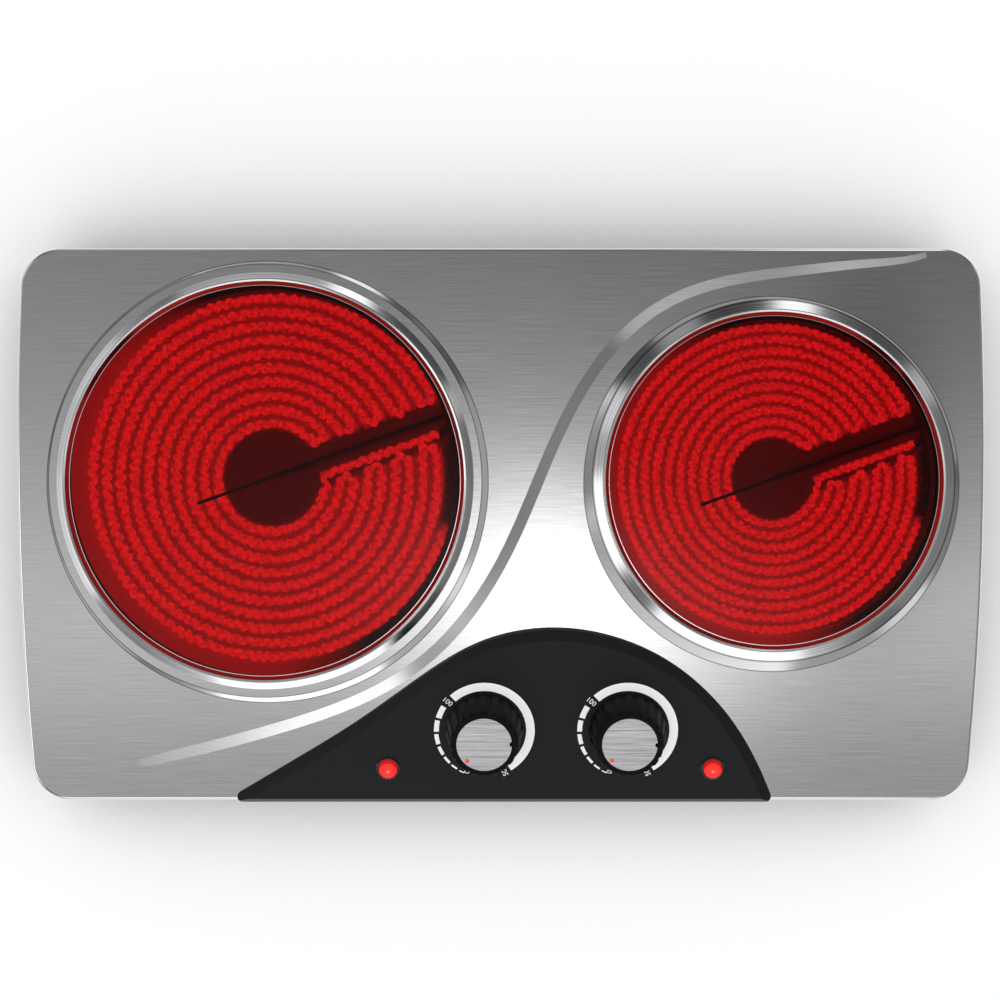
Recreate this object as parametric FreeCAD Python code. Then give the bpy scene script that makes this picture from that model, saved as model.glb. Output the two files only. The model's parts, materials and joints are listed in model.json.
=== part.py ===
import FreeCAD, Part
import math
import os

# A double radiant hot plate: a bowed steel plate with two glass burners and a sloping control console.
# Millimetres. +X is right, +Y is back, +Z is up.
# The origin is on the table, under the middle of the outer box.

V = FreeCAD.Vector
UP = V(0, 0, 1)

# Stance and sheet metal
foot_height = 9.0
shell_height = 45.0
shell_sheet = 0.8
pan_sheet = 0.8
pan_rim_height = 6.0
slip = 0.3           # gap round a piece that drops into another
screw_play = 0.25    # radial room of a screw in its clearance hole
thread_play = 0.05   # radial room left at a thread or a pressed fit
turn_play = 0.05     # radial room of a turning shaft in its bush
pick = 0.02          # tolerance for finding an edge by its place

# Top plate, seen from above
half_width = 222.7
plate_depth = 254.0
widest_behind = 38.7  # the widest line lies this far behind the plate's middle
side_radius = 1600.0
corner_radius = 18.0
edge_round = 1.5

# Wave crease pressed across the plate: one sloping face that fades out at both ends
crease_points = ((-166, -112), (-92, -91), (-37, -64.5), (0, -19),
                 (36, 59), (73, 99.5), (128, 115), (196, 122.5))
crease_width = 6.0
crease_rise = 1.4
crease_sink = 0.2
crease_stations = 17
crease_fades = (0.22, 0.5)       # shares of the length over which the two ends fade, front left first
crease_tip = 0.12     # share of the full rise left at the very ends
crease_end_widths = (1.2, 0.95)  # widths of the same two ends, as shares of the full width

# Burners: place from the plate's edges, clear glass radius, raised seat and its leaning wall
left_inset = 114.4
right_inset = 97.3
burner_back_inset = 107.0
left_view = 89.6
right_view = 75.6
left_seat_margin = 10.0
right_seat_margin = 7.7
left_wall_run = 1.9
right_wall_run = 3.0
left_wall_shift = (1.0, -0.5)
right_wall_shift = (-1.0, -1.5)
seat_rise = 1.0

# Trim ring and glass
left_ring_overhang = 6.2   # ring edge beyond the clear glass
right_ring_overhang = 7.6
ring_edge = 0.6
ring_rise = 3.7
crest_out = 2.7            # highest line, beyond the clear glass
crest_in = 1.9             # inner end of the crest's gentle fall
crest_fall = 0.25
groove_width = 0.5         # line turned between the crest and the long outer slope
groove_depth = 1.5
slope_drop = 1.4           # upper end of that slope below the crest
lip_flat = 0.25
lip_thickness = 0.3
ring_wall = 0.8
ring_wall_inset = 2.1      # wall under the ring, in from its edge
tab_count = 6
tab_width = 9.0
tab_sheet = 0.6
glass_above_seat = 0.8
glass_thickness = 4.0
glass_chamfer = 0.4
seal_thickness = 0.3
seal_inset = 0.6

# Radiant heater under each glass
left_heater_shift = (1.5, 1.6)
right_heater_shift = (1.4, 1.0)
element_rows = 10
left_first_row = 25.2
right_first_row = 21.2
left_row_pitch = 6.5
right_row_pitch = 5.5
element_wire = 2.6
element_lift = 0.1
element_lead_in = 7.0     # first lead, this far in front of the limiter rod
element_lead_out = 12.0
element_turn_front = 14.0
element_turn_back = 11.5
element_bend = 4.0
element_gap_limit = 0.4
rod_angle = 19.7
rod_diameter = 1.6
rod_past_centre = 36.0
rod_depth = 7.0           # rod axis below the glass
heater_cavity = 15.0
insulation_base_thickness = 9.0
insulation_rim_width = 5.0
insulation_margin = 1.2   # room between the outer row and the rim
insulation_play = 0.3     # radial room in the dish, and round what passes the rim
dish_sheet = 0.6
dish_below_glass = 2.0

# Limiter head beside each heater, with its two terminals
head_length = 13.5
head_front = 15.0
head_back = 6.0
head_above_rod = 6.0
head_below_element = 4.0
head_bore_depth = 8.0
shelf_sheet = 1.0
shelf_width = 8.0
terminal_size = 1.6
terminal_tab_width = 5.0
terminal_tab_drop = 9.0
terminal_reach = 8.0      # terminal stem beyond the dish wall

# Strap and leaf spring that push each heater up to its glass
strap_sheet = 1.2
strap_width = 18.0
strap_rise = 8.0
strap_leg_inset = 16.0
strap_flange = 14.0
spring_sheet = 0.6
spring_width = 14.0
spring_middle = 22.0
spring_run = 22.0
spring_pad = 12.0

# Console: outline as distance from the middle and from the plate's front edge
console_proud = 0.5
console_tilt = 15.0
console_front_height = 3.0
console_wall = 2.5
console_curve = ((-127.5, 0), (-92, 20.6), (-64.2, 37.9), (-36.6, 57.5), (-9.4, 73.2), (24.4, 79.6),
                 (53.7, 75.0), (81.0, 61.7), (99.6, 44.9), (113.8, 24.4), (125.2, 0))
console_chamfer = 5.0
console_chamfer_drop = 2.4
console_front_bevel = 1.6
console_tip_round = 2.5
console_bosses = ((-75.0, 18.0), (111.0, 15.5), (25.0, 68.5))
boss_radius = 3.5
boss_screw_length = 5.0
boss_screw_radius = 1.5
boss_screw_head_radius = 3.0
left_knob_x = -7.5
right_knob_x = 57.6
knob_behind_front = 33.4
left_lamp_x = -51.5
right_lamp_x = 96.7
lamp_behind_front = 15.5
plate_opening_room = 5.0

# Thermostats and knobs, along the console's slope
thermostat_flange = (32.0, 22.0, 1.2)
thermostat_block = (26.0, 26.0, 22.0)
thermostat_tab = (6.3, 0.8, 8.0)
thermostat_tab_side = 8.0
thermostat_screw_side = 11.0
thermostat_stud_radius = 1.6
thermostat_stud_length = 3.0
thermostat_stud_side = 5.0
thermostat_stud_depth = 20.0
bush_radius = 4.5
bush_height = 3.0
shaft_radius = 3.0
shaft_depth = 14.0
shaft_flat = 0.8
knob_lift = 0.8
knob_height = 18.0        # top of the cap above the console face
knob_foot_radius = 17.6
knob_rim_radius = 15.2
knob_wall = 2.5
knob_top_wall = 4.5
knob_rim_round = 1.0
knob_hub_radius = 6.5
knob_hub_clear = 0.6
knob_hub_roof = 2.0
knob_grips = 20
grip_radius = 1.6
grip_depth = 0.7
cap_radius = 12.4
cap_thickness = 1.2
cap_proud = 0.2
cap_notch = 1.1
cap_notch_angle = 135.0      # from the pointer
pointer_radius = 1.0
pointer_at = 10.9
pointer_proud = 0.1
left_pointer_angle = 226.0   # seen on the console face, from +X, anticlockwise
right_pointer_angle = 224.0

# Indicator lamps
lamp_hole_radius = 5.6
lens_radius = 4.3
lens_proud = 2.2
lens_dome = 1.2
lamp_bezel_radius = 5.3
lamp_bezel_proud = 0.7
lamp_bezel_round = 0.3
lamp_flange_radius = 8.0
lamp_flange = 1.6
lamp_body_radius = 5.2
lamp_body_length = 18.0
lamp_pin_side = 2.5

# Screws
screw_radius = 2.0
screw_head_radius = 3.5
screw_head = 2.2
screw_length = 8.0

# Feet, brackets, shield, gland and terminal block
foot_side_inset = 34.7
foot_front_inset = 27.0
foot_radius = 11.0
foot_tread_radius = 9.0
foot_neck_radius = 3.7
foot_plug_radius = 5.5
foot_plug_height = 3.0
bracket_side_inset = 62.7
bracket_width = 16.0
bracket_sheet = 1.2
bracket_foot = 14.0
bracket_weld = 16.0
bracket_clear = 1.0
vent_rows = 5
vent_length = 34.0
vent_width = 3.6
vent_pitch = 9.0
vent_aside = 40.0
shield_behind_front = 61.0
shield_dish_room = 8.0      # from the shield's ends to the heater dishes
shield_sheet = 1.0
shield_height = 40.0
shield_flange = 13.0
shield_window_room = 17.0    # beside the knobs' axes
shield_window_sill = 1.0
shield_window_height = 18.0
shield_screw_inset = 9.0
gland_x = 22.0
gland_z = 30.0
gland_flange = 1.2
gland_flange_radius = 9.0
gland_neck_radius = 6.5
gland_collar = 3.0
gland_collar_radius = 8.5
gland_bore = 3.6
block_behind = 38.0       # terminal block in front of the plate's back edge
block_size = (50.0, 20.0, 15.0)
block_poles = 5
block_pole_pitch = 8.0
block_bore_height = 4.0
block_screw_side = 21.0
earth_stud_radius = 2.0
earth_stud_height = 8.0
earth_stud_ahead = 36.0   # in front of the terminal block

# Wires
wire_radius = 1.5
wire_bend = 12.0
wire_gap = 0.2
wire_bend_share = 0.45     # of the shorter run, taken up by a bend
wire_in_block = 6.0
heater_wire_z = 19.0
live_wire_turn = 27.0      # behind the shield
return_wire_turn = 40.0    # in front of the terminal block's middle
return_wire_drop = 22.0
side_wire_room = 7.0       # beside the right dish
side_wire_lead = 6.0
side_wire_run = 36.0
side_wire_corner = 24.0
side_wire_aside = 34.0     # beside its pole, before it turns in from behind
lamp_wire_drop = 9.0
lamp_wire_run = 10.0

# Levels and edges that follow from the sizes above
plate_top = foot_height + shell_height
plate_under = plate_top - shell_sheet
mid_y = (console_proud - gland_flange) / 2
front_y = mid_y - plate_depth / 2
back_y = mid_y + plate_depth / 2
widest_y = mid_y + widest_behind
pan_floor = foot_height + pan_sheet
seat_top = plate_top + seat_rise
seat_under = seat_top - shell_sheet
glass_top = seat_top + glass_above_seat
glass_under = glass_top - glass_thickness
lip_under = glass_top + seal_thickness
cavity_floor = glass_under - heater_cavity
dish_floor = cavity_floor - insulation_base_thickness
dish_under = dish_floor - dish_sheet
dish_top = glass_under - dish_below_glass
element_z = cavity_floor + element_lift + element_wire / 2
rod_z = glass_under - rod_depth
head_under = element_z - head_below_element
tilt = math.radians(console_tilt)
console_front = front_y - console_proud
knob_y = front_y + knob_behind_front
lamp_y = front_y + lamp_behind_front
flange_under = -console_wall - thermostat_flange[2]
thermostat_foot = flange_under - thermostat_block[2]
lamp_foot = -console_wall - lamp_flange - lamp_body_length
cap_seat = knob_height - cap_thickness
knob_rim = knob_height - cap_proud
knob_ceiling = cap_seat - knob_top_wall
hub_foot = bush_height + knob_hub_clear
shaft_top = cap_seat - knob_hub_roof
block_y = back_y - block_behind
shield_y = front_y + shield_behind_front
foot_x = half_width - foot_side_inset
bracket_x = half_width - bracket_side_inset


def save(name, shape):
    shape.exportStep("parts/" + name + ".step")


def box(x0, x1, y0, y1, z0, z1):
    return Part.makeBox(x1 - x0, y1 - y0, z1 - z0, V(x0, y0, z0))


def pillar(radius, z0, z1, x=0.0, y=0.0):
    return Part.makeCylinder(radius, z1 - z0, V(x, y, z0))


def collar(outer, inner, z0, z1, x=0.0, y=0.0):
    return pillar(outer, z0, z1, x, y).cut(pillar(inner, z0, z1, x, y))


def bar(radius, start, along, length):
    return Part.makeCylinder(radius, length, start, along)


def turned(profile):
    """A ring turned about Z from (radius, height) corners."""
    corners = [V(r, 0, z) for r, z in profile]
    face = Part.Face(Part.makePolygon(corners + corners[:1]))
    return face.revolve(V(0, 0, 0), UP, 360)


def joined(shapes):
    return shapes[0].multiFuse(shapes[1:]).removeSplitter()


def is_upright(edge):
    return edge.BoundBox.XLength < pick and edge.BoundBox.YLength < pick


def is_level(edge):
    return edge.BoundBox.ZLength < pick


def slab(inset, z0, z1):
    """The plate's outline, drawn in by inset, as an upright prism."""
    radius = side_radius - inset
    centre_x = half_width - side_radius
    front = front_y + inset
    back = back_y - inset

    def side_x(y):
        return centre_x + math.sqrt(radius ** 2 - (y - widest_y) ** 2)

    far_x = centre_x + radius
    right = Part.Arc(V(side_x(front), front, z0), V(far_x, widest_y, z0), V(side_x(back), back, z0))
    left = Part.Arc(V(-side_x(back), back, z0), V(-far_x, widest_y, z0), V(-side_x(front), front, z0))
    back_line = Part.makeLine(V(side_x(back), back, z0), V(-side_x(back), back, z0))
    front_line = Part.makeLine(V(-side_x(front), front, z0), V(side_x(front), front, z0))
    outline = Part.Wire([right.toShape(), back_line, left.toShape(), front_line])
    prism = Part.Face(outline).extrude(V(0, 0, z1 - z0))
    return prism.makeFillet(corner_radius - inset, [e for e in prism.Edges if is_upright(e)])


def round_rim(prism, z, radius):
    rim = [e for e in prism.Edges if is_level(e) and abs(e.BoundBox.ZMin - z) < pick]
    return prism.makeFillet(radius, rim)


class Burner:
    """The sizes of one burner that the pieces above and below the plate share."""

    def __init__(self, side, x, view, overhang, seat_margin, wall_run, wall_shift,
                 heater_shift, first_row, pitch):
        self.side = side
        self.x = x
        self.y = back_y - burner_back_inset
        self.view = view
        self.edge = view + overhang
        self.seat = view + seat_margin
        self.wall_foot = self.seat + wall_run
        self.wall_x = self.x + wall_shift[0]
        self.wall_y = self.y + wall_shift[1]
        self.wall_out = self.edge - ring_wall_inset
        self.wall_in = self.wall_out - ring_wall
        self.hole = self.wall_out + slip
        self.glass = self.wall_in - slip
        self.heater_x = self.x + heater_shift[0]
        self.heater_y = self.y + heater_shift[1]
        self.first_row = first_row
        self.pitch = pitch
        self.last_row = first_row + (element_rows - 1) * pitch
        self.rim_in = self.last_row + element_wire / 2 + insulation_margin
        self.rim_out = self.rim_in + insulation_rim_width
        self.dish_in = self.rim_out + insulation_play
        self.dish_out = self.dish_in + dish_sheet
        self.leg = self.dish_out - strap_leg_inset

    def at_ring(self, shape):
        return shape.translated(V(self.x, self.y, 0))

    def at_heater(self, shape):
        """Turns a piece drawn with the limiter rod along +X to its place."""
        turned_piece = shape.copy()
        turned_piece.rotate(V(0, 0, 0), UP, rod_angle)
        return turned_piece.translated(V(self.heater_x, self.heater_y, 0))

    def heater_point(self, along, aside, z):
        angle = math.radians(rod_angle)
        x = along * math.cos(angle) - aside * math.sin(angle)
        y = along * math.sin(angle) + aside * math.cos(angle)
        return V(self.heater_x + x, self.heater_y + y, z)

    def wall_cone(self, drop):
        """The raised seat as a leaning cone, lowered by drop."""
        foot = Part.Wire(Part.makeCircle(self.wall_foot, V(self.wall_x, self.wall_y, plate_top - drop)))
        head = Part.Wire(Part.makeCircle(self.seat, V(self.x, self.y, seat_top - drop)))
        return Part.makeLoft([foot, head], True, True)


left = Burner("left", left_inset - half_width, left_view, left_ring_overhang, left_seat_margin,
              left_wall_run, left_wall_shift, left_heater_shift, left_first_row, left_row_pitch)
right = Burner("right", half_width - right_inset, right_view, right_ring_overhang, right_seat_margin,
               right_wall_run, right_wall_shift, right_heater_shift, right_first_row, right_row_pitch)
burners = (left, right)


def panel_z(y):
    return plate_top + console_front_height + (y - console_front) * math.tan(tilt)


def on_panel(shape, x, y):
    """Carries a piece drawn on the XY plane to the console's sloping face."""
    placed = shape.copy()
    slope = FreeCAD.Placement(V(x, y, panel_z(y)), FreeCAD.Rotation(V(1, 0, 0), console_tilt))
    placed.Placement = slope.multiply(placed.Placement)
    return placed


def panel_point(x, y, across, up_slope, out):
    reach_y = y + up_slope * math.cos(tilt) - out * math.sin(tilt)
    return V(x + across, reach_y, panel_z(y) + up_slope * math.sin(tilt) + out * math.cos(tilt))


def crease():
    """The wave as a low ridge: upright on its back side, one long slope on its front side."""
    middle = Part.BSplineCurve()
    middle.interpolate([V(x, mid_y + y, 0) for x, y in crease_points])
    sections = []
    for station in range(crease_stations):
        share = station / (crease_stations - 1)
        at = middle.FirstParameter + share * (middle.LastParameter - middle.FirstParameter)
        near_end = min(share / crease_fades[0], (1 - share) / crease_fades[1], 1)
        swell = math.sin(near_end * math.pi / 2)
        grown = crease_tip + (1 - crease_tip) * swell
        end_width = crease_end_widths[round(share)]
        half = crease_width / 2 * (end_width + (1 - end_width) * swell)
        along = middle.tangent(at)[0]
        aside = V(along.y, -along.x, 0) * half
        back = middle.value(at) - aside
        front = middle.value(at) + aside
        root = UP * (plate_top - crease_sink)
        corners = [back + UP * (plate_top + crease_rise * grown), back + root, front + root]
        sections.append(Part.makePolygon(corners + corners[:1]))
    return Part.makeLoft(sections, True, False)


def plate_opening(z0, z1):
    """The opening under the console for the thermostats."""
    side = thermostat_block[0] / 2 + plate_opening_room
    deep = thermostat_block[1] / 2 + plate_opening_room
    lean = (panel_z(knob_y) - plate_top) * math.tan(tilt)
    return box(left_knob_x - side, right_knob_x + side, knob_y - deep, knob_y + deep + lean, z0, z1)


def plate_blank():
    return round_rim(slab(0, foot_height, plate_top), plate_top, edge_round)


def top_shell():
    inner = round_rim(slab(shell_sheet, 0, plate_under), plate_under, edge_round - shell_sheet)
    shell = plate_blank().multiFuse([b.wall_cone(0) for b in burners] + [crease()])
    cuts = [inner, plate_opening(plate_under, seat_top)]
    for b in burners:
        cuts.append(b.wall_cone(shell_sheet))
        cuts.append(pillar(b.hole, plate_under, seat_top + ring_rise, b.x, b.y))
    for x in (left_lamp_x, right_lamp_x):
        cuts.append(pillar(lamp_flange_radius + slip, plate_under, seat_top, x, lamp_y))
    for x, behind in console_bosses:
        cuts.append(pillar(boss_screw_radius + screw_play, plate_under, plate_top, x, front_y + behind))
    cuts.append(bar(gland_neck_radius + slip, V(gland_x, back_y, gland_z), V(0, -1, 0), shell_sheet))
    for cut in cuts:
        shell = shell.cut(cut)
    return shell


def console_prism(inset, z0, z1):
    """The half-moon outline, its curve drawn in by inset, as an upright prism."""
    points = [V(x, front_y + behind, z0) for x, behind in console_curve]
    points[0].y = console_front
    points[-1].y = console_front
    outer = Part.BSplineCurve()
    outer.interpolate(points)
    moved = []
    for point in points:
        along = outer.tangent(outer.parameter(point))[0]
        moved.append(point + V(along.y, -along.x, 0).normalize() * inset)
    curve = Part.BSplineCurve()
    curve.interpolate(moved)
    face = Part.Face(Part.Wire([curve.toShape(), Part.makeLine(moved[-1], moved[0])]))
    return face.extrude(V(0, 0, z1 - z0))


def above_panel(drop):
    """All the room above the console's face, lowered by drop."""
    room = half_width * 2
    return on_panel(box(-room, room, -room, room, -drop, room), 0, console_front)


def on_face(edge):
    return all(abs(v.Point.z - panel_z(v.Point.y)) < pick for v in edge.Vertexes)


def control_console():
    tall = panel_z(back_y)
    block = console_prism(0, plate_top - edge_round, tall)
    tips = block.cut(block.makeFillet(console_tip_round, [e for e in block.Edges if is_upright(e)]))
    body = block.cut(above_panel(0))
    curved = max([e for e in body.Edges if on_face(e)], key=lambda e: e.Length)
    body = body.makeChamfer(console_chamfer_drop, console_chamfer, [curved])
    front_edges = [e for e in body.Edges if on_face(e) and e.BoundBox.YLength < pick]
    body = body.makeChamfer(console_front_bevel, console_front_bevel, front_edges).cut(tips)
    cavity = console_prism(console_wall, plate_top - edge_round, tall).cut(above_panel(console_wall))
    front_inside = console_front + console_wall
    front_wall = box(-half_width, half_width, front_inside - plate_depth, front_inside, 0, tall)
    shell = body.cut(cavity.cut(front_wall))
    for x, behind in console_bosses:
        y = front_y + behind
        shell = shell.fuse(pillar(boss_radius, plate_top, tall, x, y).common(body))
        thread_end = plate_top + boss_screw_length
        shell = shell.cut(pillar(boss_screw_radius + thread_play, plate_top, thread_end, x, y))
    shell = shell.cut(plate_blank())
    deep = -console_wall * 2
    bores = []
    for x in (left_knob_x, right_knob_x):
        bores.append(on_panel(pillar(bush_radius + slip, deep, console_wall), x, knob_y))
        for side in (-1, 1):
            hole = pillar(screw_radius + screw_play, deep, console_wall, side * thermostat_screw_side)
            bores.append(on_panel(hole, x, knob_y))
    for x in (left_lamp_x, right_lamp_x):
        bores.append(on_panel(pillar(lamp_hole_radius, deep, console_wall), x, lamp_y))
    for bore in bores:
        shell = shell.cut(bore)
    return shell.removeSplitter()


def thermostat(outward):
    """Flange, switch block, bush, tabs below and studs on the side that outward gives."""
    long, wide, thick = thermostat_flange
    block_long, block_wide, block_tall = thermostat_block
    tab_wide, tab_thick, tab_long = thermostat_tab
    half_long = block_long / 2
    half_wide = block_wide / 2
    pieces = [box(-long / 2, long / 2, -wide / 2, wide / 2, flange_under, -console_wall),
              box(-half_long, half_long, -half_wide, half_wide, thermostat_foot, flange_under),
              pillar(bush_radius, flange_under, bush_height)]
    for side in (-1, 1):
        middle = side * thermostat_tab_side
        pieces.append(box(middle - tab_wide / 2, middle + tab_wide / 2, -tab_thick / 2, tab_thick / 2,
                          thermostat_foot - tab_long, thermostat_foot))
        start = V(outward * half_long, side * thermostat_stud_side, -thermostat_stud_depth)
        pieces.append(bar(thermostat_stud_radius, start, V(outward, 0, 0), thermostat_stud_length))
    body = joined(pieces)
    body = body.cut(pillar(shaft_radius + turn_play, -console_wall - shaft_depth - slip, bush_height))
    for side in (-1, 1):
        thread = pillar(screw_radius + thread_play, -screw_length - slip, 0, side * thermostat_screw_side)
        body = body.cut(thread)
    return body


def thermostat_screw(side):
    head = pillar(screw_head_radius, 0, screw_head, side * thermostat_screw_side)
    return joined([head, pillar(screw_radius, -screw_length, 0, side * thermostat_screw_side)])


def flatted(radius, z0, z1):
    """A round bar with one flat, as on the shaft's end and in the knob's bore."""
    flat = box(radius - shaft_flat, radius, -radius, radius, z0, z1)
    return pillar(radius, z0, z1).cut(flat)


def shaft():
    round_end = pillar(shaft_radius, -console_wall - shaft_depth, hub_foot)
    return joined([round_end, flatted(shaft_radius, hub_foot, shaft_top)])


def knob_radius(z):
    return knob_foot_radius + (knob_rim_radius - knob_foot_radius) * (z - knob_lift) / (knob_rim - knob_lift)


def knob():
    body = Part.makeCone(knob_foot_radius, knob_rim_radius, knob_rim - knob_lift, V(0, 0, knob_lift))
    body = round_rim(body, knob_rim, knob_rim_round)
    hollow = Part.makeCone(knob_foot_radius - knob_wall, knob_radius(knob_ceiling) - knob_wall,
                           knob_ceiling - knob_lift, V(0, 0, knob_lift))
    body = body.cut(hollow)
    body = body.fuse(pillar(knob_hub_radius, hub_foot, knob_ceiling + slip))
    body = body.cut(flatted(shaft_radius + thread_play, hub_foot, shaft_top + slip))
    body = body.cut(pillar(cap_radius + thread_play, cap_seat, knob_height))
    grips = []
    for step in range(knob_grips):
        angle = 2 * math.pi * step / knob_grips
        outward = V(math.cos(angle), math.sin(angle), 0)
        low = outward * (knob_foot_radius + grip_radius - grip_depth) + UP * knob_lift
        high = outward * (knob_rim_radius + grip_radius - grip_depth) + UP * knob_rim
        reach = high - low
        grips.append(bar(grip_radius, low - reach, reach, reach.Length * 3))
    return body.cut(Part.makeCompound(grips)).removeSplitter()


def knob_cap():
    cap = pillar(cap_radius, cap_seat, knob_height)
    angle = math.radians(cap_notch_angle)
    notch_x = cap_radius * math.cos(angle)
    notch_y = cap_radius * math.sin(angle)
    notch = pillar(cap_notch, cap_seat, knob_height, notch_x, notch_y)
    return cap.cut(notch).cut(pillar(pointer_radius + thread_play, cap_seat, knob_height, pointer_at))


def knob_pointer():
    return pillar(pointer_radius, cap_seat, knob_height + pointer_proud, pointer_at)


def lamp_lens():
    return round_rim(pillar(lens_radius, -console_wall, lens_proud), lens_proud, lens_dome)


def lamp_body():
    """Switch-side body and flange, with the bezel that stands round the lens in the console's hole."""
    flange = pillar(lamp_flange_radius, -console_wall - lamp_flange, -console_wall)
    bezel = collar(lamp_bezel_radius, lens_radius + slip, -console_wall, lamp_bezel_proud)
    bezel = round_rim(bezel, lamp_bezel_proud, lamp_bezel_round)
    return joined([flange, bezel, pillar(lamp_body_radius, lamp_foot, -console_wall - lamp_flange)])


def trim_ring(b):
    """Long outer slope, a turned line, a narrow crest, then a steep fall to the thin lip on the glass."""
    lip_top = lip_under + lip_thickness
    crest = b.view + crest_out
    foot = seat_under - tab_sheet
    top = seat_top + ring_rise
    ring = turned([(b.edge, seat_top), (b.edge, seat_top + ring_edge),
                   (crest + groove_width, top - slope_drop), (crest + groove_width / 2, top - groove_depth),
                   (crest, top), (b.view + crest_in, top - crest_fall),
                   (b.view + lip_flat, lip_top), (b.view, lip_top), (b.view, lip_under),
                   (b.wall_in, lip_under), (b.wall_in, foot), (b.wall_out, foot), (b.wall_out, seat_top)])
    band = collar(b.seat - slip, b.wall_in, foot, seat_under)
    tabs = []
    for step in range(tab_count):
        strip = box(0, b.seat, -tab_width / 2, tab_width / 2, foot, seat_under)
        strip.rotate(V(0, 0, 0), UP, 360 * step / tab_count)
        tabs.append(strip.common(band))
    return b.at_ring(joined([ring] + tabs))


def glass_disc(b):
    disc = pillar(b.glass, glass_under, glass_top)
    return b.at_ring(disc.makeChamfer(glass_chamfer, [e for e in disc.Edges if is_level(e)]))


def glass_seal(b):
    return b.at_ring(collar(b.glass - glass_chamfer, b.view + seal_inset, glass_top, lip_under))


def heater_dish(b):
    dish = pillar(b.dish_out, dish_under, dish_top).cut(pillar(b.dish_in, dish_floor, dish_top))
    window = box(b.rim_in, b.dish_out + head_length, -element_lead_out - element_wire, rod_diameter,
                 element_z - element_wire, rod_z + rod_diameter)
    shelf = box(b.dish_in + dish_sheet / 2, b.dish_out + slip + head_length,
                head_back - shelf_width, head_back, head_under - shelf_sheet, head_under)
    return b.at_heater(joined([dish.cut(window), shelf]))


def insulation_base(b):
    return b.at_heater(pillar(b.rim_out, dish_floor, cavity_floor))


def insulation_rim(b):
    rim = collar(b.rim_out, b.rim_in, cavity_floor, glass_under)
    start = b.rim_in - insulation_rim_width
    reach = insulation_rim_width * 3
    ways = [(0, rod_z, rod_diameter), (-element_lead_in, element_z, element_wire),
            (-element_lead_out, element_z, element_wire)]
    for aside, z, thick in ways:
        rim = rim.cut(bar(thick / 2 + insulation_play, V(start, aside, z), V(1, 0, 0), reach))
    return b.at_heater(rim)


def arc_run(centre, radius, start, end):
    """Arcs of about a quarter turn each, from one angle to the other."""
    count = max(1, math.ceil(abs(end - start) / (math.pi / 2)))
    step = (end - start) / count

    def on_circle(angle):
        return centre + V(math.cos(angle), math.sin(angle), 0) * radius

    return [Part.Arc(on_circle(start + i * step), on_circle(start + (i + 0.5) * step),
                     on_circle(start + (i + 1) * step)).toShape() for i in range(count)]


def element_route(b):
    """One run: in along the first lead, to and fro over the rows, out along the second lead."""
    hub = V(0, 0, element_z)
    half = b.pitch / 2
    full = 2 * math.pi

    def lead_corner(row, lead_aside):
        """The bend between a row and a lead: its centre, and the row's angle there."""
        aside = lead_aside + element_bend
        along = math.sqrt((row + element_bend) ** 2 - aside ** 2)
        return V(along, -aside, element_z), -math.atan2(aside, along)

    def lead(corner, aside):
        return V(b.rim_out, -aside, element_z), V(corner.x, -aside, element_z)

    corner, angle = lead_corner(b.first_row, element_lead_in)
    outer, inner = lead(corner, element_lead_in)
    route = [Part.makeLine(outer, inner)]
    route += arc_run(corner, element_bend, math.pi / 2, angle + math.pi)
    for row in range(element_rows):
        radius = b.first_row + row * b.pitch
        outward = row % 2 == 0
        if row == element_rows - 1:
            corner, end = lead_corner(radius, element_lead_out)
        elif outward:
            end = math.asin(element_turn_back / (radius + half)) - full
        else:
            end = -math.asin(element_turn_front / (radius + half))
        route += arc_run(hub, radius, angle, end)
        if row < element_rows - 1:
            turn = hub + V(math.cos(end), math.sin(end), 0) * (radius + half)
            sweep = math.pi if outward else -math.pi
            route += arc_run(turn, half, end + math.pi, end + math.pi + sweep)
        angle = end
    route += arc_run(corner, element_bend, angle + math.pi, math.pi / 2)
    outer, inner = lead(corner, element_lead_out)
    route.append(Part.makeLine(inner, outer))
    return route


def least_gap(route):
    """The smallest gap of the element to itself, over points one wire apart along it."""
    points = []
    for edge in route:
        points += edge.discretize(max(2, int(edge.Length / element_wire)))[:-1]
    apart = int(math.pi * element_bend / element_wire)
    gaps = [p.distanceToPoint(q) for i, p in enumerate(points) for q in points[i + apart:]]
    return min(gaps) - element_wire


def heating_element(b):
    route = element_route(b)
    gap = least_gap(route)
    print(b.side, "heating element: least gap to itself", round(gap, 2), "mm, wanted over", element_gap_limit)
    start = Part.Wire(Part.makeCircle(element_wire / 2, route[0].Vertexes[0].Point, V(-1, 0, 0)))
    return b.at_heater(Part.Wire(route).makePipeShell([start], True, False))


def limiter_rod(b):
    end = b.dish_out + slip + head_bore_depth
    start = V(-rod_past_centre, 0, rod_z)
    return b.at_heater(bar(rod_diameter / 2, start, V(1, 0, 0), end + rod_past_centre))


def terminal(b, aside):
    end = b.dish_out + terminal_reach
    half = terminal_size / 2
    stem = box(b.rim_out + wire_gap, end, -aside - half, -aside + half, element_z - half, element_z + half)
    tab = box(end - terminal_tab_width, end, -aside - half, -aside + half,
              head_under - terminal_tab_drop, element_z + half)
    return joined([stem, tab])


def heater_terminals(b):
    return [terminal(b, element_lead_in), terminal(b, element_lead_out)]


def limiter_head(b):
    near = b.dish_out + slip
    head = box(near, near + head_length, -head_front, head_back, head_under, rod_z + head_above_rod)
    bore_start = V(near, 0, rod_z)
    head = head.cut(bar(rod_diameter / 2 + thread_play, bore_start, V(1, 0, 0), head_bore_depth + slip))
    for piece in heater_terminals(b):
        head = head.cut(piece)
    return b.at_heater(head)


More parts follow.
